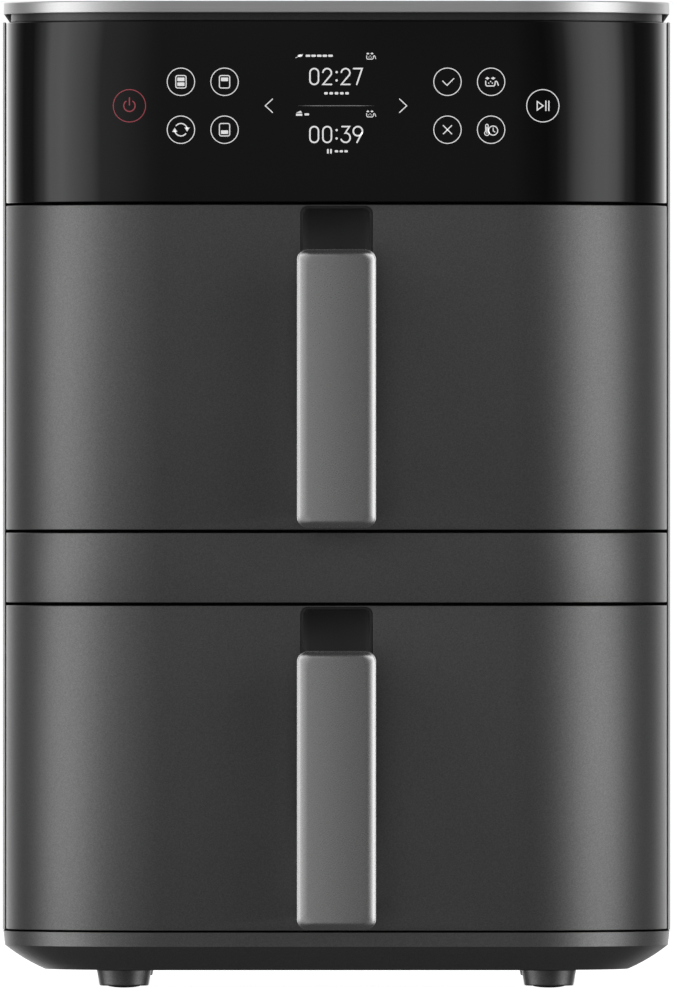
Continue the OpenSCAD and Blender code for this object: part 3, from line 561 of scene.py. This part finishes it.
def drawer_front(side):
    node = side + "_drawer_front"
    lo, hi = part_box(node)
    path = front_path(PANEL_HALF, CORNER_R, Y_FRONT, Y_PANEL)
    verts, faces = swept(path, rounded_section(lo.z, hi.z, SKIN_T, 0.3 * MM))
    outline = recess_outline(side)
    hole = [(x + nx * f, z + nz * f) for x, z, nx, nz, f in outline]
    rings = [[(x, y, z) for x, z in hole] for y in (Y_FRONT - 9 * MM, Y_FRONT + 9 * MM)]
    cut = cut_away(plain_mesh(node + "_raw", verts, faces), plain_mesh("cutter", *bridge(rings)))
    # rounded lip round the recess
    lip_rings = []
    for i in range(LIP_STEPS + 1):
        a = math.pi / 2 * i / LIP_STEPS
        out, back = 1 - math.sin(a), 1 - math.cos(a)
        lip_rings.append([(x + nx * f * out, Y_FRONT + f * back, z + nz * f * out)
                          for x, z, nx, nz, f in outline])
    lip_rings.append([(x, Y_FRONT + SKIN_T, z) for x, z, nx, nz, f in outline])
    lip_rings.append([(x + nx * f, Y_FRONT + SKIN_T, z + nz * f) for x, z, nx, nz, f in outline])
    lip_verts, lip_faces = bridge(lip_rings, (False, False))
    bm = bmesh.new()
    bm.from_mesh(cut)
    half_w, low, high = 18 * MM, lo.z + 2 * MM, hi.z - 0.01 * MM

    def in_recess(v):
        return abs(v.co.x) < half_w and v.co.y < Y_FRONT + 4 * MM and low < v.co.z < high

    wall = [f for f in bm.faces if abs(f.normal.y) < 0.2 and all(in_recess(v) for v in f.verts)]
    bmesh.ops.delete(bm, geom=wall, context="FACES")
    made = [bm.verts.new(v) for v in lip_verts]
    for f in lip_faces:
        bm.faces.new([made[i] for i in f])
    bmesh.ops.remove_doubles(bm, verts=bm.verts, dist=4e-6)
    bmesh.ops.recalc_face_normals(bm, faces=bm.faces)
    bm.to_mesh(cut)
    bm.free()
    slot = SLOT_OF[node]
    finish_piece(node + "_skin", cut, MATS[slot], BODY_OF[node], [node])


for side in SIDES:
    drawer_front(side)


def lid():
    """Pressed lid: a thin skirt that rounds over into the flat top."""
    lo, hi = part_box("top_plate")
    front_r, rear_r, edge, wall = 65.5 * MM, 29.5 * MM, 0.6 * MM, 1.0 * MM
    path = loop_path(hi.x, front_r, rear_r, lo.y, hi.y)
    section = [(-wall, hi.z - wall), (-wall, lo.z + 0.2 * MM), (-0.8 * MM, lo.z), (-0.25 * MM, lo.z),
               (0, lo.z + 0.25 * MM)]
    for i in range(6):
        a = math.pi / 2 * i / 5
        section.append((-edge + edge * math.cos(a), hi.z - edge + edge * math.sin(a)))
    size, count = len(section), len(path)
    verts = [(x + nx * out, y + ny * out, z) for x, y, nx, ny in path for out, z in section]
    faces = []
    for i in range(count):
        here, there = i * size, (i + 1) % count * size
        faces += [(here + k, here + k + 1, there + k + 1, there + k) for k in range(size - 1)]
    faces.append(tuple(i * size for i in range(count)))
    faces.append(tuple(i * size + size - 1 for i in reversed(range(count))))
    plate = make("lid_plate", verts, faces, MATS["lid_steel"], "housing", ["top_plate"])
    even_normals(plate)


lid()

# the base tray and feet take the paler paint: painted light
refine("base_tray", 0, smooth=18).data.materials[0] = BASE_PAINT_PAINTED_LIGHT
refine("feet", 0.5).data.materials[0] = BASE_PAINT_PAINTED_LIGHT
refine("top_deck", 0).data.materials[0] = NECK_PAINT
for node in ("side_panel_left", "side_panel_right"):
    refine(node, 0.12, shape=draw_in)
refine("front_bulkhead", 0.4, shape=split_faces).data.materials[0] = BULKHEAD
# the other CAD nodes that can be seen, with the width of their rounded edges in mm
EDGES = {"rear_cover": 0.3, "rear_spacers": 0.8, "cord_gland": 0.4, "cover_screws": 0.15,
         "base_screws": 0.15, "mouth_gaskets": 0.7, "lower_liner": 0.5, "upper_liner": 0.5,
         "lower_chamber": 0.2, "upper_chamber": 0.2, "drawer_rails": 0.6, "lower_fan_guard": 0.2,
         "upper_fan_guard": 0.2, "lower_tray": 0.3, "upper_tray": 0.3, "lower_tray_bumpers": 0.4,
         "upper_tray_bumpers": 0.4, "lower_pan_bracket": 0.3, "upper_pan_bracket": 0.3}
for node, edge in EDGES.items():
    refine(node, edge)


def pads():
    """Domed foot pads."""
    node = "foot_pads"
    lo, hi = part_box(node)
    pad_r, stud_r = 7.0 * MM, 7.1 * MM
    free, dome, steps, turns = 0.9 * MM, 1.25, 8, 48
    profile = [(0.02 * MM / math.sin(dome), 0)]
    for i in range(1, steps + 1):
        a = dome * i / steps
        rise = (1 - math.cos(a)) / (1 - math.cos(dome))
        profile.append((pad_r * math.sin(a) / math.sin(dome), free * rise))
    profile.append((pad_r, hi.z))
    for sx, xn in ((-1, "left"), (1, "right")):
        for y, yn in ((lo.y + stud_r, "front"), (hi.y - stud_r, "rear")):
            cx = sx * (hi.x - stud_r)
            rings = []
            for r, z in profile:
                around = [2 * math.pi * k / turns for k in range(turns)]
                rings.append([(cx + r * math.cos(a), y + r * math.sin(a), z) for a in around])
            verts, faces = bridge(rings)
            make("pad_" + yn + "_" + xn, verts, faces, MATS["rubber"], "housing", [node], 40)


pads()


# ---------------------------------------------------------------- handles

def handle(side):
    """Bar with a crowned face that rolls over at its edges, and an arm that flares into its back."""
    node = side + "_handle"
    lo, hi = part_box(node)
    half_w, half_h = hi.x, (hi.z - lo.z) / 2
    middle = (hi.z + lo.z) / 2
    thick, crown, back, corner = 13 * MM, 1.1 * MM, 1.4 * MM, 4.3 * MM
    roll, end_roll, nose = 4.2 * MM, 2.9 * MM, 0.4 * MM
    side_r, end_r = roll / math.sin(math.radians(26)), end_roll / math.sin(math.radians(52))
    across, roll_steps, nose_steps, back_steps = 16, 12, 6, 5

    def loop(inset):
        return rounded_loop(half_w - inset, half_h - inset, corner - inset * 0.35, across=across)

    def face_y(x):
        return lo.y + crown * (x / half_w) ** 2

    def drop(run, nz):
        """How far back the roll has come after a run from its start; the ends roll over harder."""
        short = max(run - roll + end_roll, 0)
        at_side = side_r - math.sqrt(side_r ** 2 - run ** 2)
        at_end = end_r - math.sqrt(end_r ** 2 - short ** 2)
        return at_side + (at_end - at_side) * nz ** 4

    rings = []
    for i in range(roll_steps + nose_steps + 1):
        a = math.pi / 2 * max(i - roll_steps, 0) / nose_steps
        run = roll * min(i, roll_steps) / roll_steps
        inset, back_by = roll - run + nose * (1 - math.sin(a)), nose * (1 - math.cos(a))
        rings.append([(x, face_y(x) + back_by + drop(run, nz), middle + z) for x, z, nx, nz in loop(inset)])
    for i in range(back_steps + 1):
        a = math.pi / 2 * i / back_steps
        y = lo.y + thick - back + back * math.sin(a)
        rings.append([(x, y, middle + z) for x, z, nx, nz in loop(back * (1 - math.cos(a)))])
    verts, faces = bridge(rings, (False, True))
    first = rings[0]
    heights = sorted({round(z, 9) for x, y, z in first})
    for z in heights:
        reach = max(x for x, y, zz in first if abs(zz - z) < 1e-8)
        base = len(verts)
        below = base - across - 1
        row = [reach * (2 * i / across - 1) for i in range(across + 1)]
        verts += [(x, face_y(x), z) for x in row]
        if z > heights[0]:
            faces += [(below + i, below + i + 1, base + i + 1, base + i) for i in range(across)]
    paint_slot = "handle_paint"
    make(side + "_handle_bar", verts, faces, MATS[paint_slot], BODY_OF[node], [node], 50)
    floor = lo.y + thick - 1.2 * MM
    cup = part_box(side + "_finger_cup")
    arm_lo, arm_hi = cup[0].z + 3 * MM, cup[0].z + 37 * MM
    arm_w, arm_h, arm_corner = 10.5 * MM, (arm_hi - arm_lo) / 2, 3.2 * MM
    flare = ((floor, 2.2), (floor + 1.5 * MM, 1.2), (floor + 3.2 * MM, 0.4), (floor + 6 * MM, 0.0),
             (hi.y, 0.0))
    arm_rings = []
    for y, wider in flare:
        grow = wider * MM
        outline = rounded_loop(arm_w + grow, arm_h + grow, arm_corner + grow)
        arm_rings.append([(x, y, (arm_lo + arm_hi) / 2 + z) for x, z, nx, nz in outline])
    verts, faces = bridge(arm_rings)
    make(side + "_handle_arm", verts, faces, MATS[paint_slot], BODY_OF[node], (), 40)


def finger_cup(side):
    """Cup behind the handle: its rim rolls inwards and its floor meets the walls in a round."""
    node = side + "_finger_cup"
    lo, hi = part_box(node)
    half_w, half_h, middle = hi.x, (hi.z - lo.z) / 2, (hi.z + lo.z) / 2
    wall, rim, hollow = 1.2 * MM, 1.1 * MM, 2.5 * MM

    def loop(inset, y):
        outline = rounded_loop(half_w - inset, half_h - inset, 3.2 * MM - inset * 0.4)
        return [(x, y, middle + z) for x, z, nx, nz in outline]

    rings = [loop(0, hi.y), loop(0, lo.y + 0.1 * MM), loop(0.1 * MM, lo.y)]
    for i in range(7):
        a = math.pi / 2 * i / 6
        rings.append(loop(0.12 * MM + rim * math.sin(a), lo.y + rim * (1 - math.cos(a))))
    for i in range(7):
        a = math.pi / 2 * i / 6
        rings.append(loop(wall + hollow * (1 - math.cos(a)), hi.y - wall - hollow * (1 - math.sin(a))))
    verts, faces = bridge(rings)
    # the cup's paler floor is painted light
    cup_painted_light_plastic = hollow_plastic_painted_light(side + "_cup_plastic_painted_light", lo.y, 5 * MM, 0.045, 0.17)
    make(side + "_cup_moulding", verts, faces, cup_painted_light_plastic, BODY_OF[node], [node], 45)


for side in SIDES:
    handle(side)
    finger_cup(side)


# ---------------------------------------------------------------- pans

def pan(side):
    """Drawn pan: rounded floor edge, rolled rim, open notch for the air at the rear."""
    node = side + "_pan"
    lo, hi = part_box(node)
    rim, t, fillet, corner, roll = 4 * MM, 1.4 * MM, 9 * MM, 22 * MM, 1 * MM
    y0, y1 = lo.y, hi.y - rim
    half_w = hi.x - rim
    cy, half_l = (y0 + y1) / 2, (y1 - y0) / 2

    def ring(grow, z):
        pts = rounded_loop(half_w + grow, half_l + grow, corner + grow, 10)
        return [(x, max(cy + y, y0), z) for x, y, nx, ny in pts]

    rings = []
    for i in range(7):
        a = math.pi / 2 * i / 6
        rings.append(ring(-fillet * (1 - math.sin(a)), lo.z + fillet * (1 - math.cos(a))))
    rings.append(ring(0, hi.z - 2 * roll))
    rings.append(ring(rim - 0.5 * MM, hi.z - 2 * roll))
    for i in range(5):
        a = math.pi * (i / 4 - 0.5)
        rings.append(ring(rim - roll + roll * math.cos(a), hi.z - roll + roll * math.sin(a)))
    rings.append(ring(0.2 * MM, hi.z))
    for i in range(4):
        a = math.pi / 2 * i / 3
        rings.append(ring(-t * math.sin(a), hi.z - t * (1 - math.cos(a))))
    for i in range(7):
        a = math.pi / 2 * (1 - i / 6)
        inner = fillet - t
        rings.append(ring(-t - inner * (1 - math.sin(a)), lo.z + t + inner * (1 - math.cos(a))))
    notch_w, notch_h = 60 * MM, 40 * MM
    z_mid = hi.z - 34 * MM + notch_h
    cut_rings = [[(x, y, z_mid + z) for x, z, nx, nz in rounded_loop(notch_w, notch_h, 12 * MM)]
                 for y in (y1 - 9 * MM, y1 + 12 * MM)]
    raw = plain_mesh(node + "_raw", *bridge(rings), 1e-6)
    made = cut_away(raw, plain_mesh("cutter", *bridge(cut_rings), 1e-6))
    finish_piece(side + "_pan_drawn", made, MATS["pan_coating"], BODY_OF[node], [node])


for side in SIDES:
    pan(side)


# ---------------------------------------------------------------- symbols on the glass

class Print:
    """Flat strokes and fills, laid on the curved glass with a little thickness."""

    def __init__(self):
        self.verts, self.faces = [], []

    def _point(self, x, z):
        self.verts.append((x, z))
        return len(self.verts) - 1

    def fill(self, points):
        self.faces.append([self._point(x, z) for x, z in points])

    def stroke(self, points, width, closed=False):
        """A line of even width, mitred at its corners and round at its ends."""
        count, half = len(points), width / 2
        left, right = [], []
        for i, (x, z) in enumerate(points):
            before = points[i - 1] if i or closed else None
            after = points[(i + 1) % count] if i < count - 1 or closed else None
            dirs = []
            for a, b in ((before, (x, z)), ((x, z), after)):
                if a and b:
                    d = Vector((b[0] - a[0], b[1] - a[1])).normalized()
                    dirs.append(d)
            mean = sum(dirs, Vector((0, 0))).normalized()
            normal = Vector((-mean.y, mean.x))
            stretch = 1 / max(0.5, normal.dot(Vector((-dirs[0].y, dirs[0].x))))
            off = normal * half * stretch
            left.append(self._point(x + off.x, z + off.y))
            right.append(self._point(x - off.x, z - off.y))
        for i in range(count if closed else count - 1):
            j = (i + 1) % count
            self.faces.append([left[i], right[i], right[j], left[j]])
        if not closed:
            for end, step in ((0, 1), (count - 1, -1)):
                x, z = points[end]
                px, pz = points[end + step]
                d = math.atan2(z - pz, x - px)
                turns = [d + math.pi / 2 * k / 4 for k in range(3, -4, -1)]
                cap = [self._point(x + half * math.cos(t), z + half * math.sin(t)) for t in turns]
                a, b = (right[end], left[end]) if end == 0 else (left[end], right[end])
                self.faces.append([a] + cap + [b])

    def make(self, name, material, place=(0, 0), thick=0.06 * MM):
        cx, cz = place
        count = len(self.verts)
        front = [(cx + x, glass_y(cx + x) - thick, cz + z) for x, z in self.verts]
        back = [(cx + x, glass_y(cx + x) + 0.02 * MM, cz + z) for x, z in self.verts]
        faces = [list(f) for f in self.faces] + [[i + count for i in reversed(f)] for f in self.faces]
        edges = {}
        for f in self.faces:
            for i in range(len(f)):
                a, b = f[i], f[(i + 1) % len(f)]
                edges.setdefault((min(a, b), max(a, b)), []).append((a, b))
        for sides in edges.values():
            if len(sides) == 1:
                a, b = sides[0]
                faces.append([a, a + count, b + count, b])
        make(name, front + back, faces, material, "housing", (), 40)


def arc(cx, cz, radius, start, end, steps=40):
    angles = [math.radians(start + (end - start) * i / steps) for i in range(steps + 1)]
    return [(cx + radius * math.cos(a), cz + radius * math.sin(a)) for a in angles]


def ring(art, radius, width):
    art.stroke(arc(0, 0, radius, 0, 360, 64)[:-1], width, True)


def frame_box(cx, cz, half_w, half_h, radius):
    return [(cx + x, cz + z) for x, z, nx, nz in rounded_loop(half_w, half_h, radius, 5)]


U = MM                                                # the unit the symbols are drawn in
Z_ROW = (GLASS_LO.z + GLASS_HI.z) / 2 + 2.35 * U      # middle of the symbol field
ROW_UP, ROW_DOWN = Z_ROW + 10.0 * U, Z_ROW - 10.0 * U
KEY_R, BIG_R, LINE = 5.72 * U, 6.75 * U, 0.36 * U
X_LEFT, X_RIGHT = (-64.9 * U, -46.7 * U), (46.3 * U, 64.5 * U)


def key(name, place, draw, radius=KEY_R, material=WHITE_PRINT):
    art = Print()
    ring(art, radius, LINE)
    draw(art)
    art.make("key_" + name, material, place)


def draw_power(art):
    art.stroke(arc(0, 0, 2.35 * U, 128, 412, 40), 0.5 * U)
    art.stroke([(0, 3.3 * U), (0, 0.3 * U)], 0.5 * U)


def basket(art, top, bottom):
    art.stroke(frame_box(0, 0, 2.15 * U, 2.6 * U, 0.8 * U), 0.42 * U, True)
    for shown, z in ((top, 1.0 * U), (bottom, -1.02 * U)):
        if shown:
            art.fill(frame_box(0, z, 1.5 * U, 0.76 * U, 0.25 * U))


def draw_cycle(art):
    for turn in (0, 180):
        art.stroke(arc(0, 0, 2.6 * U, turn + 15, turn + 140, 24), 0.5 * U)
        a = math.radians(turn + 8)
        x, z = 2.6 * U * math.cos(a), 2.6 * U * math.sin(a)
        s = U if turn == 0 else -U
        art.fill([(x + 1.1 * s, z + 0.55 * s), (x - 1.1 * s, z + 0.55 * s), (x, z - 1.15 * s)])


def draw_check(art):
    art.stroke([(-2.0 * U, 0.3 * U), (-0.2 * U, -1.5 * U), (2.65 * U, 1.35 * U)], 0.42 * U)


def draw_cross(art):
    for s in (1, -1):
        art.stroke([(-1.75 * U, -1.75 * U * s), (1.75 * U, 1.75 * U * s)], 0.42 * U)


def draw_pan_food(art, k=1.0):
    u = U * k
    art.stroke([(-2.25 * u, 0.25 * u), (-2.25 * u, -1.2 * u), (-1.8 * u, -1.75 * u), (1.1 * u, -1.75 * u),
                (1.55 * u, -1.3 * u), (1.75 * u, 0.1 * u), (2.15 * u, 0.25 * u), (2.55 * u, -0.1 * u),
                (3.0 * u, -1.45 * u)], 0.46 * u)
    for x in (-1.55, 0.85):
        left, right = (x - 0.95) * u, (x + 0.95) * u
        art.fill([(left, 1.45 * u), (x * u, 2.05 * u), (right, 1.45 * u), (x * u, 0.85 * u)])
    for x, z in ((-1.0, -0.55), (-0.2, 0.1), (0.5, -0.6)):
        art.fill(arc(x * u, z * u, 0.27 * u, 0, 360, 12)[:-1])


def draw_timer(art):
    art.stroke(arc(0.85 * U, -0.35 * U, 1.9 * U, 0, 360, 40)[:-1], 0.42 * U, True)
    art.stroke([(0.85 * U, 0.75 * U), (0.85 * U, -0.45 * U), (1.6 * U, -0.95 * U)], 0.38 * U)
    bulb = arc(-1.75 * U, -1.45 * U, 0.95 * U, 125, 415, 24)
    tube = arc(-1.75 * U, 1.75 * U, 0.52 * U, 0, 180, 10)
    art.stroke(bulb + tube, 0.38 * U, True)
    art.stroke([(-1.75 * U, 1.0 * U), (-1.75 * U, -1.4 * U)], 0.45 * U)


def draw_play(art):
    art.stroke([(-2.35 * U, 1.8 * U), (-2.35 * U, -1.8 * U), (0.15 * U, 0)], 0.5 * U, True)
    for x in (1.25, 2.5):
        art.stroke([(x * U, 1.95 * U), (x * U, -1.95 * U)], 0.5 * U)


key("power", (-86.4 * U, Z_ROW), draw_power, BIG_R, RED_PRINT)
key("both_baskets", (X_LEFT[0], ROW_UP), lambda art: basket(art, True, True))
key("upper_basket", (X_LEFT[1], ROW_UP), lambda art: basket(art, True, False))
key("cycle", (X_LEFT[0], ROW_DOWN), draw_cycle)
key("lower_basket", (X_LEFT[1], ROW_DOWN), lambda art: basket(art, False, True))
key("check", (X_RIGHT[0], ROW_UP), draw_check)
key("food", (X_RIGHT[1], ROW_UP), draw_pan_food)
key("cross", (X_RIGHT[0], ROW_DOWN), draw_cross)
key("timer", (X_RIGHT[1], ROW_DOWN), draw_timer)
key("play", (86.1 * U, Z_ROW), draw_play, BIG_R)

for name, x, s in (("back", -29.7 * U, 1), ("next", 29.3 * U, -1)):
    art = Print()
    art.stroke([(s * 3.0 * U, 2.8 * U), (0, 0), (s * 3.0 * U, -2.8 * U)], 0.42 * U)
    art.make("arrow_" + name, WHITE_PRINT, (x, Z_ROW))

DIGIT_W, DIGIT_H, DIGIT_LINE = 3.55 * U, 6.6 * U, 0.64 * U


def digit(art, mark, cx):
    w, h = DIGIT_W / 2, DIGIT_H / 2

    def at(points):
        return [(cx + x, z) for x, z in points]

    if mark == "0":
        art.stroke(at(frame_box(0, 0, w, h, w * 0.98)), DIGIT_LINE, True)
    elif mark == "2":
        bowl = arc(0, h - w, w, 172, -32, 24)
        art.stroke(at(bowl + [(-w, -h), (w, -h)]), DIGIT_LINE)
    elif mark == "7":
        art.stroke(at([(-w, h), (w, h), (-w * 0.25, -h)]), DIGIT_LINE)
    elif mark == "3":
        bowl = arc(-0.02 * w, -h + w * 1.12, w * 1.1, 88, -158, 24)
        art.stroke(at([(-w * 0.85, h), (w * 0.9, h), (-0.1 * w, -h + w * 2.2)] + bowl), DIGIT_LINE)
    elif mark == "9":
        art.stroke(at(arc(0, h - w * 1.08, w * 1.08, 0, 360, 30)[:-1]), DIGIT_LINE, True)
        art.stroke(at([(w * 0.95, h - w * 1.5), (-w * 0.2, -h)]), DIGIT_LINE)
    elif mark == ":":
        for z in (h * 0.55, -h * 0.5):
            art.fill(arc(cx, z, 0.5 * U, 0, 360, 16)[:-1])


DIGIT_XS = (-9.3 * U, -3.9 * U, 0.05 * U, 3.8 * U, 8.9 * U)
TIMES = (("upper_time", "02:27", Z_ROW + 12.2 * U), ("lower_time", "00:39", Z_ROW - 12.0 * U))
for name, marks, z in TIMES:
    art = Print()
    for mark, x in zip(marks, DIGIT_XS):
        digit(art, mark, x)
    art.make("display_" + name, WHITE_PRINT, (0, z))

# programme marks above the times: a leaf and a cake slice, each with a bar
art = Print()
art.fill(arc(0.9 * U, 0, 1.25 * U, 215, 325, 10) + arc(0.9 * U, -1.4 * U, 1.25 * U, 35, 145, 10))
art.stroke([(-0.9 * U, -1.6 * U), (2.0 * U, -0.2 * U)], 0.22 * U)
for i in range(5):
    art.fill(frame_box((4.2 + 2.35 * i) * U, -0.75 * U, 0.95 * U, 0.45 * U, 0.3 * U))
art.make("display_upper_programme", WHITE_PRINT, (-16.1 * U, Z_ROW + 21.6 * U))
art = Print()
art.fill([(0, -1.2 * U), (2.6 * U, -1.2 * U), (2.6 * U, -0.3 * U), (0, -0.3 * U)])
art.fill([(0, 0), (2.6 * U, 0), (1.9 * U, 0.9 * U)])
art.fill(frame_box(4.5 * U, -0.6 * U, 0.95 * U, 0.45 * U, 0.3 * U))
art.make("display_lower_programme", WHITE_PRINT, (-16.9 * U, Z_ROW - 3.0 * U))
# state marks below the times: running dots and a pause sign
art = Print()
for i in range(5):
    art.fill(frame_box((2.2 * i) * U, 0, 0.75 * U, 0.5 * U, 0.35 * U))
art.make("display_upper_state", WHITE_PRINT, (-4.4 * U, Z_ROW + 5.2 * U))
art = Print()
for x in (0, 1.3):
    art.fill(frame_box(x * U, 0, 0.36 * U, 0.95 * U, 0.2 * U))
for i in range(3):
    art.fill(frame_box((3.6 + 2.0 * i) * U, 0, 0.7 * U, 0.45 * U, 0.3 * U))
art.make("display_lower_state", WHITE_PRINT, (-3.6 * U, Z_ROW - 19.0 * U))
for name, z in (("upper", Z_ROW + 20.7 * U), ("lower", Z_ROW - 3.4 * U)):
    art = Print()
    draw_pan_food(art, 0.72)
    art.make("display_" + name + "_pan", WHITE_PRINT, (14.2 * U, z))
art = Print()
art.fill([(-16.5 * U, 0), (-9 * U, -0.13 * U), (9 * U, -0.13 * U), (16 * U, 0), (9 * U, 0.13 * U),
          (-9 * U, 0.13 * U)])
art.make("display_divider", DIM_PRINT, (0, Z_ROW))


# ---------------------------------------------------------------- carried-over CAD nodes

for node, obj in frame["nodes"].items():
    obj.data.materials.clear()
    obj.data.materials.append(MATS[SLOT_OF[node]])


# ---------------------------------------------------------------- floor, light, camera

def floor():
    """Round pale floor that glows evenly and neither lights nor shows in the object."""
    mesh = bpy.data.meshes.new("floor")
    steps, radius, z = 96, 1.6, -0.2 * MM
    around = [2 * math.pi * i / steps for i in range(steps)]
    rim = [(radius * math.cos(a), radius * math.sin(a), z) for a in around]
    mesh.from_pydata(rim, [], [tuple(range(steps))])
    obj = bpy.data.objects.new("floor", mesh)
    bpy.context.scene.collection.objects.link(obj)
    mat, tree, bsdf = shader("pale_floor")
    cloud = noise(tree, 3.0)
    bsdf.inputs["Emission Strength"].default_value = 0.98
    bsdf.inputs["Emission Color"].default_value = (1, 1, 1, 1)
    colour = tint(tree, cloud, grey(0.80), grey(0.83))
    join(tree, bsdf, Base_Color=colour, Roughness=spread(tree, cloud, 0.8, 0.9))
    mesh.materials.append(mat)
    obj.visible_diffuse = False
    obj.visible_glossy = False


floor()


# brightness of the surround, going round from straight ahead (0) to straight behind (180 degrees)
LEFT_LIGHT = [(0, 0.17), (10, 0.22), (17, 0.29), (32, 0.43), (47, 0.51), (54, 0.98), (64, 1.36),
              (80, 1.89), (92, 1.54), (99, 0.63), (106, 0.27), (112, 0.08), (125, 0.05), (131, 0.10),
              (137, 0.23), (148, 0.72), (154, 1.08), (162, 1.45), (180, 1.75)]
RIGHT_LIGHT = [(0, 0.17), (15, 0.10), (27, 0.07), (34, 0.13), (42, 0.35), (50, 1.15), (58, 1.68),
               (67, 2.00), (76, 1.95), (85, 1.50), (95, 0.38), (107, 0.07), (116, 0.06), (126, 0.09),
               (133, 0.19), (141, 0.47), (148, 0.84), (154, 1.20), (162, 1.55), (169, 1.15),
               (174, 0.4), (180, 0.1)]
BELOW_LIGHT, ABOVE_LIGHT = 0.06, 0.04
LEAN = 1.6              # how far the soft boxes lean forward with height
LIGHT_SCALE = 2.2


def studio():
    """White surround for the camera.

    For the light: a tall soft box at each side, white behind, dim ahead, above and below.
    """
    world = bpy.data.worlds.new("studio")
    bpy.context.scene.world = world
    world.use_nodes = True
    tree = world.node_tree
    back = tree.nodes["Background"]
    toward = add(tree, "ShaderNodeTexCoord").outputs["Generated"]
    axis = add(tree, "ShaderNodeSeparateXYZ", {"Vector": toward})
    values = {"X": axis.outputs["X"], "Y": axis.outputs["Y"], "Z": 0.0}
    flat = add(tree, "ShaderNodeCombineXYZ", values).outputs[0]
    unit = add(tree, "ShaderNodeVectorMath", {0: flat}, operation="NORMALIZE").outputs["Vector"]
    values = {0: unit, 1: (0, -1, 0)}
    ahead = add(tree, "ShaderNodeVectorMath", values, operation="DOT_PRODUCT").outputs["Value"]
    rise = math_node(tree, "MAXIMUM", axis.outputs["Z"], 0.0)
    lean = math_node(tree, "MULTIPLY", rise, rise)
    around_by = math_node(tree, "ARCCOSINE", ahead)
    angle = math_node(tree, "MULTIPLY_ADD", lean, LEAN, around_by)
    share = math_node(tree, "DIVIDE", angle, math.pi)
    left, right = (ramp(tree, share, [(deg / 180, level / LIGHT_SCALE) for deg, level in stops])
                   for stops in (LEFT_LIGHT, RIGHT_LIGHT))
    on_right = math_node(tree, "GREATER_THAN", axis.outputs["X"], 0.0)
    around = blend(tree, on_right, left, right)
    height = spread(tree, axis.outputs["Z"], 0, 1, -1, 1)
    near = ramp(tree, height, [(0.26, 0.0), (0.44, 1.0), (0.67, 1.0), (0.84, 0.0)], "EASE")
    caps = ramp(tree, height, [(0.3, BELOW_LIGHT / LIGHT_SCALE), (0.7, ABOVE_LIGHT / LIGHT_SCALE)])
    tree.links.new(blend(tree, near, caps, around), back.inputs["Color"])
    back.inputs["Strength"].default_value = LIGHT_SCALE
    plain = add(tree, "ShaderNodeBackground", {"Color": (1, 1, 1, 1), "Strength": 1.0})
    path = add(tree, "ShaderNodeLightPath")
    values = {0: path.outputs["Is Camera Ray"], 1: back.outputs[0], 2: plain.outputs[0]}
    both = add(tree, "ShaderNodeMixShader", values)
    tree.links.new(both.outputs[0], tree.nodes["World Output"].inputs["Surface"])


studio()
bpy.context.scene.view_settings.view_transform = "Standard"


def lamp(name, place, aim, size, watts):
    data = bpy.data.lights.new(name, "AREA")
    data.shape = "RECTANGLE"
    data.size, data.size_y = size
    data.energy = watts
    obj = bpy.data.objects.new(name, data)
    obj.location = place
    obj.rotation_euler = (Vector(aim) - Vector(place)).to_track_quat("-Z", "Y").to_euler()
    bpy.context.scene.collection.objects.link(obj)


lamp("overhead", place=(0, 1.0, 2.4), aim=(0, 0, 0.3), size=(1.6, 1.0), watts=8)


def camera():
    """Square on to the front from far away, with the object filling the frame."""
    lo, hi = CAD_BOX
    data = bpy.data.cameras.new("camera")
    cam = bpy.data.objects.new("camera", data)
    bpy.context.scene.collection.objects.link(cam)
    distance, sensor = 13.3, 36
    shape, fill, top_gap = 989 / 673, 671.2 / 673, 0.5 / 989      # of the picture
    view_high = (hi.x - lo.x) / fill * shape
    cam.location = (0, Y_FRONT - distance, hi.z - (0.5 - top_gap) * view_high)
    cam.rotation_euler = (math.pi / 2, 0, 0)
    data.sensor_width = sensor
    data.lens = sensor * distance / view_high
    data.clip_start, data.clip_end = 0.5, 40
    bpy.context.scene.camera = cam


camera()
